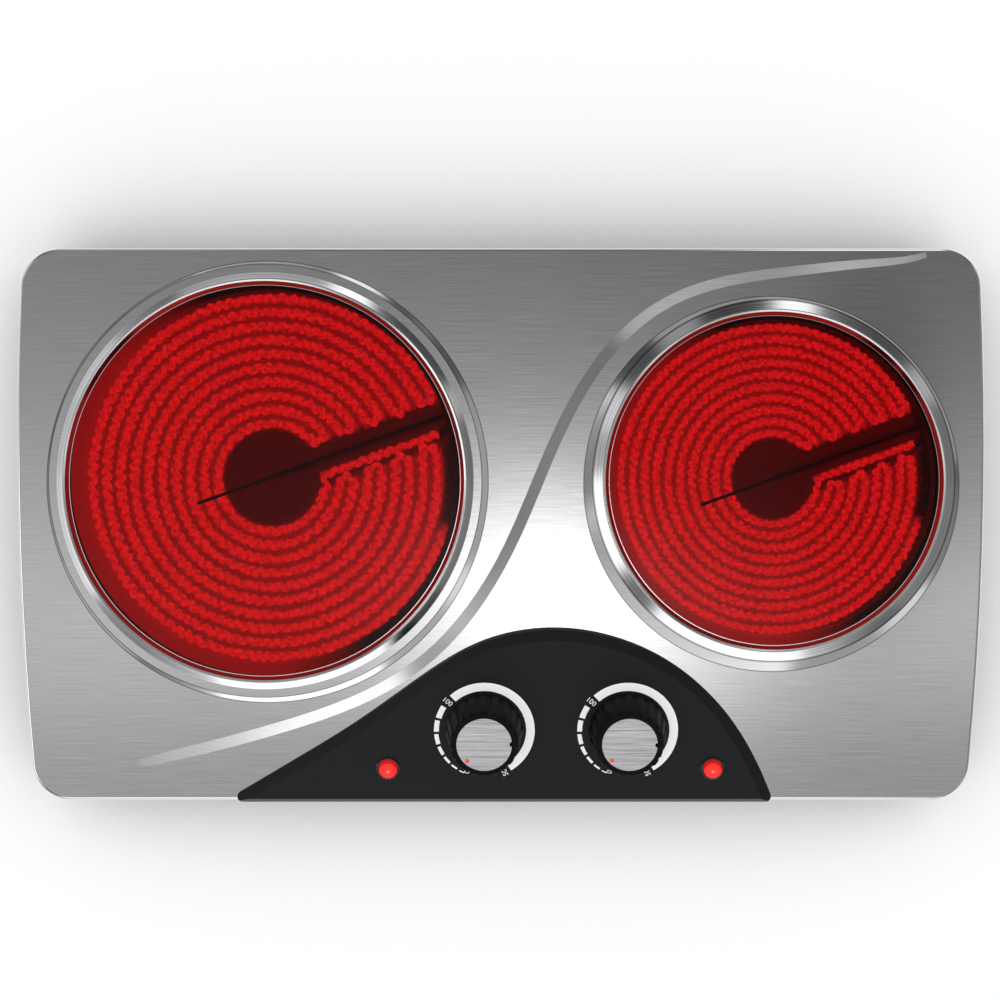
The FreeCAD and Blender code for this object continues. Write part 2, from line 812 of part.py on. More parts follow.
def heater_strap(b):
    half = strap_width / 2
    bridge = pan_floor + strap_rise
    pieces = [box(-b.leg, b.leg, -half, half, bridge, bridge + strap_sheet)]
    for side in (-1, 1):
        inner = side * (b.leg - strap_sheet)
        outer = side * b.leg
        end = side * (b.leg + strap_flange)
        pieces.append(box(min(inner, outer), max(inner, outer), -half, half, pan_floor, bridge + strap_sheet))
        flange = box(min(inner, end), max(inner, end), -half, half, pan_floor, pan_floor + strap_sheet)
        hole = pillar(screw_radius + thread_play, pan_floor, bridge, side * strap_screw_x(b))
        pieces.append(flange.cut(hole))
    return joined(pieces).translated(V(b.heater_x, b.heater_y, 0))


def strap_screw_x(b):
    return b.leg + strap_flange / 2


def heater_spring(b):
    low = pan_floor + strap_rise + strap_sheet
    high = dish_under - spring_sheet
    bends = [(spring_middle / 2, low), (spring_middle / 2 + spring_run, high),
             (spring_middle / 2 + spring_run + spring_pad, high)]
    lower = [(-x, z) for x, z in reversed(bends)] + bends
    corners = [V(x, -spring_width / 2, z) for x, z in lower]
    corners += [V(x, -spring_width / 2, z + spring_sheet) for x, z in reversed(lower)]
    leaf = Part.Face(Part.makePolygon(corners + corners[:1])).extrude(V(0, spring_width, 0))
    return leaf.translated(V(b.heater_x, b.heater_y, 0))


def bracket_places():
    """Each bracket's middle, the skirt's inner face there, and the way inward."""
    places = []
    for x in (-bracket_x, bracket_x):
        places.append((x, front_y + shell_sheet, 1))
        places.append((x, back_y - shell_sheet, -1))
    return places


def bracket_jog():
    return slip + pan_sheet + bracket_clear


def skirt_bracket(x, wall_y, inward):
    """Welded to the skirt above the pan's rim, and standing on the pan's floor."""
    step = foot_height + pan_rim_height + bracket_clear
    jog = bracket_jog()

    def leg(near, far, z0, z1):
        y0 = wall_y + inward * near
        y1 = wall_y + inward * far
        return box(x - bracket_width / 2, x + bracket_width / 2, min(y0, y1), max(y0, y1), z0, z1)

    pieces = [leg(0, bracket_sheet, step, step + bracket_weld),
              leg(0, jog + bracket_sheet, step, step + bracket_sheet),
              leg(jog, jog + bracket_sheet, pan_floor, step + bracket_sheet),
              leg(jog, jog + bracket_sheet + bracket_foot, pan_floor, pan_floor + bracket_sheet)]
    return joined(pieces).cut(pillar(screw_radius + thread_play, pan_floor, pan_floor + bracket_sheet,
                                     x, bracket_screw_y(wall_y, inward)))


def bracket_screw_y(wall_y, inward):
    return wall_y + inward * (bracket_jog() + bracket_sheet + bracket_foot / 2)


def shield_end(b, side):
    """Where the shield stops beside a heater: clear of its dish, and never past its middle."""
    reach = b.dish_out + shield_dish_room
    ahead = b.heater_y - shield_y - shield_sheet
    return b.heater_x + side * math.sqrt(max(0.0, reach ** 2 - ahead ** 2))


def shield_ends():
    return shield_end(left, 1), shield_end(right, -1)


def shield_screw_x():
    start, end = shield_ends()
    return start + shield_screw_inset, end - shield_screw_inset


def heat_shield():
    back = shield_y + shield_sheet
    flange_top = pan_floor + shield_sheet
    sill = flange_top + shield_window_sill
    start, end = shield_ends()
    wall = box(start, end, shield_y, back, pan_floor, pan_floor + shield_height)
    window = box(left_knob_x - shield_window_room, right_knob_x + shield_window_room,
                 shield_y, back, sill, sill + shield_window_height)
    flange = box(start, end, shield_y - shield_flange, shield_y, pan_floor, flange_top)
    shield = joined([wall.cut(window), flange])
    for x in shield_screw_x():
        thread = pillar(screw_radius + thread_play, pan_floor, flange_top, x, shield_y - shield_flange / 2)
        shield = shield.cut(thread)
    return shield


def pan_screw_places():
    places = [(x, bracket_screw_y(wall_y, inward)) for x, wall_y, inward in bracket_places()]
    for b in burners:
        places += [(b.heater_x + side * strap_screw_x(b), b.heater_y) for side in (-1, 1)]
    places += [(x, shield_y - shield_flange / 2) for x in shield_screw_x()]
    places += [(gland_x + side * block_screw_side, block_y) for side in (-1, 1)]
    return places


def pan_screw(x, y):
    head = pillar(screw_head_radius, foot_height - screw_head, foot_height, x, y)
    return joined([head, pillar(screw_radius, foot_height, foot_height + screw_length, x, y)])


def foot_places():
    front = front_y + foot_front_inset
    back = back_y - foot_front_inset
    return {"front_left_foot": (-foot_x, front), "front_right_foot": (foot_x, front),
            "back_left_foot": (-foot_x, back), "back_right_foot": (foot_x, back)}


def foot(x, y):
    tread = Part.makeCone(foot_tread_radius, foot_radius, foot_height)
    neck = pillar(foot_neck_radius, foot_height, pan_floor)
    plug = pillar(foot_plug_radius, pan_floor, pan_floor + foot_plug_height)
    return joined([tread, neck, plug]).translated(V(x, y, 0))


def vent_slot(x, y):
    half = (vent_length - vent_width) / 2
    deep = pan_floor
    slot = box(x - half, x + half, y - vent_width / 2, y + vent_width / 2, 0, deep)
    ends = [pillar(vent_width / 2, 0, deep, x + side * half, y) for side in (-1, 1)]
    return joined([slot] + ends)


def earth_stud_y():
    return block_y - block_size[1] / 2 - earth_stud_ahead


def pole_x(pole):
    return gland_x + (pole - (block_poles - 1) / 2) * block_pole_pitch


def base_pan():
    inset = shell_sheet + slip
    rim = foot_height + pan_rim_height
    pan = slab(inset, foot_height, rim).cut(slab(inset + pan_sheet, pan_floor, rim))
    screw_hole = screw_radius + screw_play
    foot_hole = foot_neck_radius + thread_play
    cuts = [pillar(screw_hole, foot_height, pan_floor, x, y) for x, y in pan_screw_places()]
    cuts += [pillar(foot_hole, foot_height, pan_floor, x, y) for x, y in foot_places().values()]
    for b in burners:
        for side in (-1, 1):
            for row in range(vent_rows):
                offset = (row - (vent_rows - 1) / 2) * vent_pitch
                cuts.append(vent_slot(b.heater_x, b.heater_y + side * vent_aside + offset))
    pan = pan.cut(Part.makeCompound(cuts))
    stud_top = pan_floor + earth_stud_height
    return pan.fuse(pillar(earth_stud_radius, pan_floor, stud_top, pole_x(block_poles - 1), earth_stud_y()))


def cord_gland():
    outside = V(gland_x, back_y + gland_flange, gland_z)
    through = V(gland_x, back_y, gland_z)
    inside = V(gland_x, back_y - shell_sheet, gland_z)
    inward = V(0, -1, 0)
    bush = joined([bar(gland_flange_radius, outside, inward, gland_flange),
                   bar(gland_neck_radius, through, inward, shell_sheet),
                   bar(gland_collar_radius, inside, inward, gland_collar)])
    return bush.cut(bar(gland_bore, outside, inward, gland_flange + shell_sheet + gland_collar))


def terminal_block():
    long, deep, tall = block_size
    block = box(gland_x - long / 2, gland_x + long / 2, block_y - deep / 2, block_y + deep / 2,
                pan_floor, pan_floor + tall)
    for pole in range(block_poles):
        start = V(pole_x(pole), block_y - deep / 2, pan_floor + block_bore_height)
        block = block.cut(bar(wire_radius + wire_gap, start, V(0, 1, 0), deep))
    for side in (-1, 1):
        block = block.cut(pillar(screw_radius + thread_play, pan_floor, foot_height + screw_length + slip,
                                 gland_x + side * block_screw_side, block_y))
    return block


def wire(points):
    """A round lead: straight runs joined by tangent arcs, each as wide as its runs allow."""
    edges = []
    start = points[0]
    for before, corner, after in zip(points, points[1:], points[2:]):
        back = (before - corner).normalize()
        ahead = (after - corner).normalize()
        half_turn = (math.pi - back.getAngle(ahead)) / 2
        run = min(before.distanceToPoint(corner), corner.distanceToPoint(after))
        radius = min(wire_bend, wire_bend_share * run / math.tan(half_turn))
        setback = radius * math.tan(half_turn)
        middle = corner + (back + ahead).normalize() * (radius / math.cos(half_turn) - radius)
        edges.append(Part.makeLine(start, corner + back * setback))
        edges.append(Part.Arc(corner + back * setback, middle, corner + ahead * setback).toShape())
        start = corner + ahead * setback
    edges.append(Part.makeLine(start, points[-1]))
    circle = Part.Wire(Part.makeCircle(wire_radius, points[0], points[1] - points[0]))
    return Part.Wire(edges).makePipeShell([circle], True, False)


def tab_end(knob_x, side):
    """Just below a thermostat's tab."""
    drop = thermostat_foot - thermostat_tab[2]
    end = panel_point(knob_x, knob_y, side * thermostat_tab_side, 0, drop)
    return end - UP * (wire_gap + wire_radius * math.sin(tilt))


def pole_end(pole, side):
    """Inside one end of a terminal block's bore."""
    y = block_y + side * (block_size[1] / 2 - wire_in_block)
    return V(pole_x(pole), y, pan_floor + block_bore_height)


def heater_end(b, aside):
    """Just below a heater terminal's tab."""
    middle = b.dish_out + terminal_reach - terminal_tab_width / 2
    return b.heater_point(middle, -aside, head_under - terminal_tab_drop - wire_gap)


def lowered(point, z):
    return V(point.x, point.y, z)


def live_wire(pole, tab):
    start = pole_end(pole, -1)
    turn = V(start.x, shield_y + live_wire_turn, start.z)
    return wire([start, turn, lowered(tab, start.z), tab])


def left_heater_wires():
    tab = tab_end(left_knob_x, -1)
    live = heater_end(left, element_lead_out)
    neutral = heater_end(left, element_lead_in)
    pole = pole_end(2, -1)
    switched = wire([tab, lowered(tab, heater_wire_z), lowered(live, heater_wire_z), live])
    back = wire([neutral, lowered(neutral, heater_wire_z),
                 V(pole.x, block_y - return_wire_turn, heater_wire_z),
                 V(pole.x, block_y - return_wire_drop, pole.z), pole])
    return [switched, back]


def right_heater_wires():
    tab = tab_end(right_knob_x, 1)
    live = heater_end(right, element_lead_out)
    neutral = heater_end(right, element_lead_in)
    pole = pole_end(3, 1)
    far_x = right.heater_x + right.dish_out + side_wire_room
    behind = right.heater_y + right.dish_out + side_wire_room
    switched = wire([tab, lowered(tab, heater_wire_z), V(far_x, tab.y + side_wire_lead, heater_wire_z),
                     V(far_x, live.y - side_wire_run, heater_wire_z), lowered(live, heater_wire_z), live])
    back = wire([neutral, lowered(neutral, heater_wire_z), V(far_x, neutral.y + side_wire_run, heater_wire_z),
                 V(far_x - side_wire_corner, behind, heater_wire_z),
                 V(pole.x + side_wire_aside, behind, heater_wire_z),
                 V(pole.x, behind + side_wire_lead, pole.z), pole])
    return [switched, back]


def lamp_wires():
    leads = []
    for lamp_x, knob_x, outward in ((left_lamp_x, left_knob_x, -1), (right_lamp_x, right_knob_x, 1)):
        stud_end = thermostat_block[0] / 2 + thermostat_stud_length + wire_gap
        for side in (-1, 1):
            pin = outward * side * lamp_pin_side
            aside = side * thermostat_stud_side
            start = panel_point(lamp_x, lamp_y, pin, 0, lamp_foot - wire_gap)
            below = panel_point(lamp_x, lamp_y, pin, 0, lamp_foot - lamp_wire_drop)
            end = panel_point(knob_x, knob_y, outward * stud_end, aside, -thermostat_stud_depth)
            leads.append(wire([start, below, end + V(outward * lamp_wire_run, 0, 0), end]))
    return leads


def earth_wire():
    start = pole_end(block_poles - 1, -1)
    return wire([start, V(start.x, earth_stud_y() + earth_stud_radius + wire_gap, start.z)])


def save_housing():
    save("top_shell", top_shell())
    save("base_pan", base_pan())
    save("skirt_brackets", Part.makeCompound([skirt_bracket(*place) for place in bracket_places()]))
    save("pan_screws", Part.makeCompound([pan_screw(x, y) for x, y in pan_screw_places()]))
    for name, (x, y) in foot_places().items():
        save(name, foot(x, y))
    save("cord_gland", cord_gland())
    save("terminal_block", terminal_block())
    save("heat_shield", heat_shield())


def save_console():
    save("control_console", control_console())
    screws = []
    for x, behind in console_bosses:
        y = front_y + behind
        head = pillar(boss_screw_head_radius, plate_under - screw_head, plate_under, x, y)
        shank = pillar(boss_screw_radius, plate_under, plate_top + boss_screw_length - slip, x, y)
        screws.append(joined([head, shank]))
    save("console_screws", Part.makeCompound(screws))
    dial_screws = []
    for side, x, outward, pointer in (("left", left_knob_x, -1, left_pointer_angle),
                                      ("right", right_knob_x, 1, right_pointer_angle)):
        save(side + "_thermostat", on_panel(thermostat(outward), x, knob_y))
        dial_screws += [on_panel(thermostat_screw(way), x, knob_y) for way in (-1, 1)]
        for name, piece in (("_knob", knob()), ("_knob_cap", knob_cap()), ("_knob_pointer", knob_pointer()),
                            ("_shaft", shaft())):
            piece.rotate(V(0, 0, 0), UP, pointer)
            save(side + name, on_panel(piece, x, knob_y))
    save("thermostat_screws", Part.makeCompound(dial_screws))
    for side, x in (("left", left_lamp_x), ("right", right_lamp_x)):
        save(side + "_lamp_lens", on_panel(lamp_lens(), x, lamp_y))
        save(side + "_lamp_body", on_panel(lamp_body(), x, lamp_y))


def save_burner(b):
    save(b.side + "_trim_ring", trim_ring(b))
    save(b.side + "_glass_disc", glass_disc(b))
    save(b.side + "_glass_seal", glass_seal(b))
    save(b.side + "_heater_dish", heater_dish(b))
    save(b.side + "_insulation_base", insulation_base(b))
    save(b.side + "_insulation_rim", insulation_rim(b))
    save(b.side + "_heating_element", heating_element(b))
    save(b.side + "_limiter_rod", limiter_rod(b))
    save(b.side + "_limiter_head", limiter_head(b))
    save(b.side + "_heater_terminals", Part.makeCompound([b.at_heater(t) for t in heater_terminals(b)]))
    save(b.side + "_heater_strap", heater_strap(b))
    save(b.side + "_heater_spring", heater_spring(b))


def save_wires():
    live = [live_wire(0, tab_end(left_knob_x, 1)), live_wire(1, tab_end(right_knob_x, -1))]
    save("live_wires", Part.makeCompound(live))
    save("left_heater_wires", Part.makeCompound(left_heater_wires()))
    save("right_heater_wires", Part.makeCompound(right_heater_wires()))
    save("lamp_wires", Part.makeCompound(lamp_wires()))
    save("earth_wire", earth_wire())


os.makedirs("parts", exist_ok=True)
save_housing()
save_console()
for burner in burners:
    save_burner(burner)
save_wires()
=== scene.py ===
import json
import math

import bmesh
import bpy
from mathutils import Matrix, Vector


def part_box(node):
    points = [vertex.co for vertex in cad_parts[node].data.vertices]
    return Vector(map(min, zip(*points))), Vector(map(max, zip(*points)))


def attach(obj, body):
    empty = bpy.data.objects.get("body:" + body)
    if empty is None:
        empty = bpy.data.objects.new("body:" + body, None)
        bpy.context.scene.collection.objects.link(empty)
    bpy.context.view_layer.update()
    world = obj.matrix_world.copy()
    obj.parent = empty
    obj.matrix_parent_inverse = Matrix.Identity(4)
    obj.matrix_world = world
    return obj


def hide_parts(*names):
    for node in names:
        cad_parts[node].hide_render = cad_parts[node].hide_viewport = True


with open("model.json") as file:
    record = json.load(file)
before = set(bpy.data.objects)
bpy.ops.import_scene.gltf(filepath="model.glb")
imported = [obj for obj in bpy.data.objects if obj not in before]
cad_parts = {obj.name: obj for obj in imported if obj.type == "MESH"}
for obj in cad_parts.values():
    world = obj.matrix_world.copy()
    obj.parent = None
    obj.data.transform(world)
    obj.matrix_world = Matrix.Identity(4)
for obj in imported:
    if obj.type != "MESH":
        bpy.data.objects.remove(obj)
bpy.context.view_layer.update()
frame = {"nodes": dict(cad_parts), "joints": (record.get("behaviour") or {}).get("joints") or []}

# A double radiant hot plate: brushed plate, glowing burners under red glass, black console with two dials.
# Metres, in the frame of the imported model.

MM = 0.001
SIDES = ("left", "right")
nodes = frame["nodes"]
joints = {joint["name"]: joint for joint in frame["joints"]}

# Camera straight above the plate
CAMERA_PLACE = (-0.0004, 0.01075, 1.054)
CAMERA_LENS = 78.26
CAMERA_SENSOR = 36.0

# Steel: brushed grit on the plate, turning lines on the rings
GRIT_LENGTH = 30.0 * MM
GRIT_PITCH = 0.45 * MM      # as coarse as it needs to be to show
TURNING_PITCH = 0.5 * MM

# The pressed seats round the burners: circles at the head and the foot of each wall, and how far the foot is shifted
SEAT_HEAD = {"left": 99.6 * MM, "right": 83.3 * MM}
SEAT_FOOT = {"left": 101.5 * MM, "right": 86.3 * MM}
SEAT_SHIFT = {"left": (1.0 * MM, -0.5 * MM, 0), "right": (-1.0 * MM, -1.5 * MM, 0)}

# Painted shade: dark lines along the seats' walls and the rings' edges, where shade falls at the bends and the joint
PAINTED_LINE_SHADE = "#3A3A3C"
PAINTED_LINE_SHADE_SHARE = 0.7
SEAT_LINE_CORE = 0.1 * MM   # half the width of a line's dark core, and of the whole line
SEAT_LINE_HALF = 0.35 * MM
RING_LINE_START = 0.6 * MM  # in from the ring's edge: where the line starts, and where it is darkest
RING_LINE_FULL = 0.3 * MM

# Heating ribbon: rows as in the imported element, corrugated
ROWS = 10
FIRST_ROW = {"left": 25.2 * MM, "right": 21.2 * MM}
ROW_PITCH = {"left": 6.5 * MM, "right": 5.5 * MM}
LEAD_IN = 7.0 * MM
LEAD_OUT = 12.0 * MM
TURN_FRONT = 14.0 * MM
TURN_BACK = 11.5 * MM
LEAD_BEND = 4.0 * MM
ROD_ANGLE = math.radians(19.7)
RIBBON_STEP = 0.4 * MM
RIBBON_HEIGHT = 2.2 * MM
RIBBON_THICKNESS = {"left": 2.2 * MM, "right": 1.9 * MM}
WAVE_LENGTH = {"left": 5.0 * MM, "right": 4.3 * MM}
WAVE_SIDE = {"left": 1.15 * MM, "right": 0.95 * MM}
# Lengths along the ribbon over which its wave runs early and late, and grows and shrinks
WAVE_DRIFTS = (19.5 * MM, 48.0 * MM)
WAVE_DRIFT = 0.85
WAVE_SWELL = 33.0 * MM
WAVE_SWELL_SHARE = 0.3
FIBRE_RIM_WIDTH = 5.0 * MM
FIBRE_RIM_DROP = 0.3 * MM   # from the glass down to the crest of the wall round the bed

# Glow of the ribbon, and the ribbon's light painted as glow on the bed under it
GLOW = (1.0, 0.10, 0.14)
RIBBON_STRENGTH = 1.9
RIBBON_DULL = 0.42          # the dull blotches, as a share of the bright ones
RIBBON_BLOTCH = 1.7 * MM
BED_STRENGTH = 1.8
FIBRE_GRAIN = 2.2 * MM
ROW_WANDER = 3.2 * MM

# Painted light on the insulation, as a share of the bed's strength
BETWEEN_ROWS = 0.27
ALONG_ROWS = 0.58
LEAST_GLOW = 0.05
RIM_GLOW = 0.33
RIM_GLOW_AT = math.radians(205)
DARK_FRONT = -12.5 * MM   # the unlit lane along the limiter rod, across it
DARK_BACK = 8.0 * MM
ROD_SHADE = 2.4 * MM
LEAD_GLOW = 0.5
LEAD_GLOW_HALF = 2.4 * MM
COLD_END = -0.55           # sine of the angle, from the rod, past which the outer row glows

# Dial print, seen on the console face: degrees from +X, anticlockwise
PRINT_THICKNESS = 0.04 * MM
PRINT_OUTER = 22.9 * MM
PRINT_INNER = 19.0 * MM
BAR_START = -58.0
BAR_END = 133.0
DASHES = 7
DASH_FIRST = 148.0
DASH_LONGEST = 16.0
DASH_SHORTEST = 6.5
DASH_GAP = 3.2
DASH_WIDEST = 2.6 * MM
DASH_THINNEST = 0.5 * MM
NUMERAL_HEIGHT = 3.4 * MM
NUMERALS = (("0", 248.5), ("100", 140.5), ("500", 294.7))
NUMERAL_RADIUS = 21.7 * MM


def linear(hex_colour):
    """sRGB hex to linear RGBA."""
    parts = [int(hex_colour[i:i + 2], 16) / 255 for i in (1, 3, 5)]
    return tuple(c / 12.92 if c <= 0.04045 else ((c + 0.055) / 1.055) ** 2.4 for c in parts) + (1.0,)


def grey(level):
    return (level, level, level, 1.0)


def add(tree, kind, inputs=None, out=0, stops=(), **settings):
    """Adds one node with its settings, ramp stops and links, and gives one of its outputs.

    An input is a value, or another node's output to link.
    """
    node = tree.nodes.new(kind)
    for name, value in settings.items():
        setattr(node, name, value)
    for name, value in (inputs or {}).items():
        if isinstance(value, bpy.types.NodeSocket):
            tree.links.new(value, node.inputs[name])
        else:
            node.inputs[name].default_value = value
    if stops:
        elements = node.color_ramp.elements
        while len(elements) < len(stops):
            elements.new(1.0)
        for element, (place, colour) in zip(elements, stops):
            element.position = place
            element.color = colour
    return node.outputs[out] if node.outputs else None


def box_middle(node):
    low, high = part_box(node)
    return (low + high) / 2


def box_radius(node):
    low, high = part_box(node)
    return (high.x - low.x) / 2


def level_spoke(tree, centre):
    """The level way from a centre to the point that is shaded."""
    point = add(tree, "ShaderNodeTexCoord", out="Object")
    spoke = add(tree, "ShaderNodeVectorMath", {0: point, 1: centre}, operation="SUBTRACT")
    return add(tree, "ShaderNodeVectorMath", {0: spoke, 1: (1, 1, 0)}, operation="MULTIPLY")


def new_material(name):
    material = bpy.data.materials.new(name)
    material.use_nodes = True
    material.node_tree.nodes.clear()
    return material, material.node_tree


def dress(material, *names):
    for name in names:
        slots = nodes[name].data.materials
        slots.clear()
        slots.append(material)


# Materials


def brushed_stainless_steel():
    """Lengthwise brushed sheet: fine light and dark lines along it, reflections drawn out across them."""
    material, tree = new_material("brushed_stainless_steel")
    point = add(tree, "ShaderNodeTexCoord", out="Object")
    normal = add(tree, "ShaderNodeNewGeometry", out="Normal")
    up = add(tree, "ShaderNodeSeparateXYZ", {0: normal}, out="Z")
    level = add(tree, "ShaderNodeMath", {0: up, 1: 0.5}, operation="GREATER_THAN")
    around = add(tree, "ShaderNodeVectorMath", {0: (0, 0, 1), 1: normal}, operation="CROSS_PRODUCT")
    along = add(tree, "ShaderNodeMix", {"Factor": level, 4: around, 5: (1, 0, 0)}, out=1, data_type="VECTOR")
    across = add(tree, "ShaderNodeVectorMath", {0: normal, 1: along}, operation="CROSS_PRODUCT")
    s = add(tree, "ShaderNodeVectorMath", {0: point, 1: along}, out="Value", operation="DOT_PRODUCT")
    t = add(tree, "ShaderNodeVectorMath", {0: point, 1: across}, out="Value", operation="DOT_PRODUCT")
    grain = add(tree, "ShaderNodeCombineXYZ", {"X": s, "Y": t})
    fine = add(tree, "ShaderNodeMapping", {"Vector": grain, "Scale": (1 / GRIT_LENGTH, 1 / GRIT_PITCH, 1)})
    lines = add(tree, "ShaderNodeTexNoise", {"Vector": fine, "Scale": 1.0, "Detail": 3.0, "Roughness": 0.7},
                noise_dimensions="2D")
    flat = add(tree, "ShaderNodeValToRGB", {"Fac": lines},
               stops=((0.25, linear("#B3B3B4")), (0.75, linear("#C6C6C7"))))
    # Painted highlight: the gentle pressed slopes are made brighter than the flats and the steep walls
    painted_slope_sheen = add(tree, "ShaderNodeValToRGB", {"Fac": up}, stops=(
        (0.89, grey(0.0)), (0.93, grey(1.0)), (0.95, grey(1.0)), (0.985, grey(0.0))))
    colour = add(tree, "ShaderNodeMix", {"Factor": painted_slope_sheen, 6: flat, 7: linear("#E4E4E5")}, out=2,
                 data_type="RGBA")
    off_line = 1.0
    for side in SIDES:
        middle = box_middle(side + "_trim_ring")
        for centre, radius in ((middle, SEAT_HEAD[side]), (middle + Vector(SEAT_SHIFT[side]), SEAT_FOOT[side])):
            spoke = level_spoke(tree, centre)
            reach = add(tree, "ShaderNodeVectorMath", {0: spoke}, out="Value", operation="LENGTH")
            off = add(tree, "ShaderNodeMath", {0: reach, 1: radius}, operation="SUBTRACT")
            off = add(tree, "ShaderNodeMath", {0: off}, operation="ABSOLUTE")
            off_line = add(tree, "ShaderNodeMath", {0: off, 1: off_line}, operation="MINIMUM")
    # Painted shade: a dark line along the head and the foot of each seat's wall
    line = add(tree, "ShaderNodeMapRange", {"Value": off_line, "From Min": SEAT_LINE_CORE, "From Max": SEAT_LINE_HALF,
                                            "To Min": PAINTED_LINE_SHADE_SHARE, "To Max": 0.0})
    colour = add(tree, "ShaderNodeMix", {"Factor": line, 6: colour, 7: linear(PAINTED_LINE_SHADE)}, out=2, data_type="RGBA")
    rough = add(tree, "ShaderNodeMapRange", {"Value": lines, "To Min": 0.10, "To Max": 0.13})
    bump = add(tree, "ShaderNodeBump", {"Height": lines, "Strength": 0.03, "Distance": 0.05 * MM})
    steel = add(tree, "ShaderNodeBsdfPrincipled", {
        "Base Color": colour, "Metallic": 1.0, "Roughness": rough, "Anisotropic": 0.6, "Tangent": across,
        "Normal": bump})
    add(tree, "ShaderNodeOutputMaterial", {"Surface": steel})
    return material


def polished_stainless_steel(side):
    """Spun and polished ring: bright, with turning lines that run round it."""
    material, tree = new_material(side + "_polished_stainless_steel")
    spoke = level_spoke(tree, box_middle(side + "_trim_ring"))
    around = add(tree, "ShaderNodeVectorMath", {0: (0, 0, 1), 1: spoke}, operation="CROSS_PRODUCT")
    radius = add(tree, "ShaderNodeVectorMath", {0: around}, out="Value", operation="LENGTH")
    lines = add(tree, "ShaderNodeTexNoise", {"W": radius, "Scale": 1 / TURNING_PITCH, "Detail": 2.0},
                noise_dimensions="1D")
    rough = add(tree, "ShaderNodeMapRange", {"Value": lines, "To Min": 0.08, "To Max": 0.18})
    colour = add(tree, "ShaderNodeValToRGB", {"Fac": lines},
                 stops=((0.3, linear("#CACACC")), (0.7, linear("#E6E6E7"))))
    # Painted reflection: the inner wall, which faces the glowing burner, is coloured red as if it mirrored the glow
    outward = add(tree, "ShaderNodeVectorMath", {0: spoke}, operation="NORMALIZE")
    normal = add(tree, "ShaderNodeNewGeometry", out="Normal")
    facing = add(tree, "ShaderNodeVectorMath", {0: normal, 1: outward}, out="Value", operation="DOT_PRODUCT")
    painted_glow_reflection = add(tree, "ShaderNodeMapRange", {"Value": facing, "From Min": -0.5, "From Max": -0.65})
    colour = add(tree, "ShaderNodeMix", {"Factor": painted_glow_reflection, 6: colour, 7: linear("#B8302C")}, out=2, data_type="RGBA")
    # Painted shade: a dark line just inside the ring's outer edge, where it meets the plate
    edge = box_radius(side + "_trim_ring")
    line = add(tree, "ShaderNodeMapRange", {"Value": radius, "From Min": edge - RING_LINE_START,
                                            "From Max": edge - RING_LINE_FULL, "To Max": PAINTED_LINE_SHADE_SHARE})
    colour = add(tree, "ShaderNodeMix", {"Factor": line, 6: colour, 7: linear(PAINTED_LINE_SHADE)}, out=2, data_type="RGBA")
    steel = add(tree, "ShaderNodeBsdfPrincipled", {
        "Base Color": colour, "Metallic": 1.0, "Roughness": rough, "Anisotropic": 0.4, "Tangent": around})
    add(tree, "ShaderNodeOutputMaterial", {"Surface": steel})
    return material


def red_glass_ceramic():
    """Tinted glass-ceramic with a dimpled underside: lets red through and softens what glows under it."""
    material, tree = new_material("red_glass_ceramic")
    point = add(tree, "ShaderNodeTexCoord", out="Object")
    cloud = add(tree, "ShaderNodeTexNoise", {"Vector": point, "Scale": 1 / (30 * MM), "Detail": 2.0})
    rough = add(tree, "ShaderNodeMapRange", {"Value": cloud, "To Min": 0.05, "To Max": 0.10})
    glass = add(tree, "ShaderNodeBsdfPrincipled", {
        "Base Color": linear("#A03030"), "Roughness": rough, "IOR": 1.5, "Specular Tint": grey(0.2),
        "Transmission Weight": 1.0})
    add(tree, "ShaderNodeOutputMaterial", {"Surface": glass})
    return material


def heater_place(tree, side):
    """The way from the heater's middle, its length, and its parts along and across the limiter rod."""
    flat = level_spoke(tree, box_middle(side + "_insulation_base"))
    radius = add(tree, "ShaderNodeVectorMath", {0: flat}, out="Value", operation="LENGTH")
    turned = add(tree, "ShaderNodeMapping", {"Vector": flat, "Rotation": (0, 0, -ROD_ANGLE)})
    ahead = add(tree, "ShaderNodeSeparateXYZ", {0: turned}, out="X")
    aside = add(tree, "ShaderNodeSeparateXYZ", {0: turned}, out="Y")
    return flat, radius, ahead, aside


def warm_share(tree, side, radius, ahead, aside):
    """1 where the ribbon heats, 0 on the outer row's last stretch before its lead."""
    outer = FIRST_ROW[side] + (ROWS - 1.5) * ROW_PITCH[side]
    inside = add(tree, "ShaderNodeMath", {0: radius, 1: outer}, operation="LESS_THAN")
    sine = add(tree, "ShaderNodeMath", {0: aside, 1: radius}, operation="DIVIDE")
    before = add(tree, "ShaderNodeMapRange", {"Value": sine, "From Min": COLD_END, "From Max": COLD_END - 0.08})
    behind = add(tree, "ShaderNodeMath", {0: ahead, 1: 0.0}, operation="LESS_THAN")
    back = add(tree, "ShaderNodeMath", {0: aside, 1: 0.0}, operation="GREATER_THAN")
    warm = add(tree, "ShaderNodeMath", {0: inside, 1: before}, operation="MAXIMUM")
    warm = add(tree, "ShaderNodeMath", {0: warm, 1: behind}, operation="MAXIMUM")
    return add(tree, "ShaderNodeMath", {0: warm, 1: back}, operation="MAXIMUM")


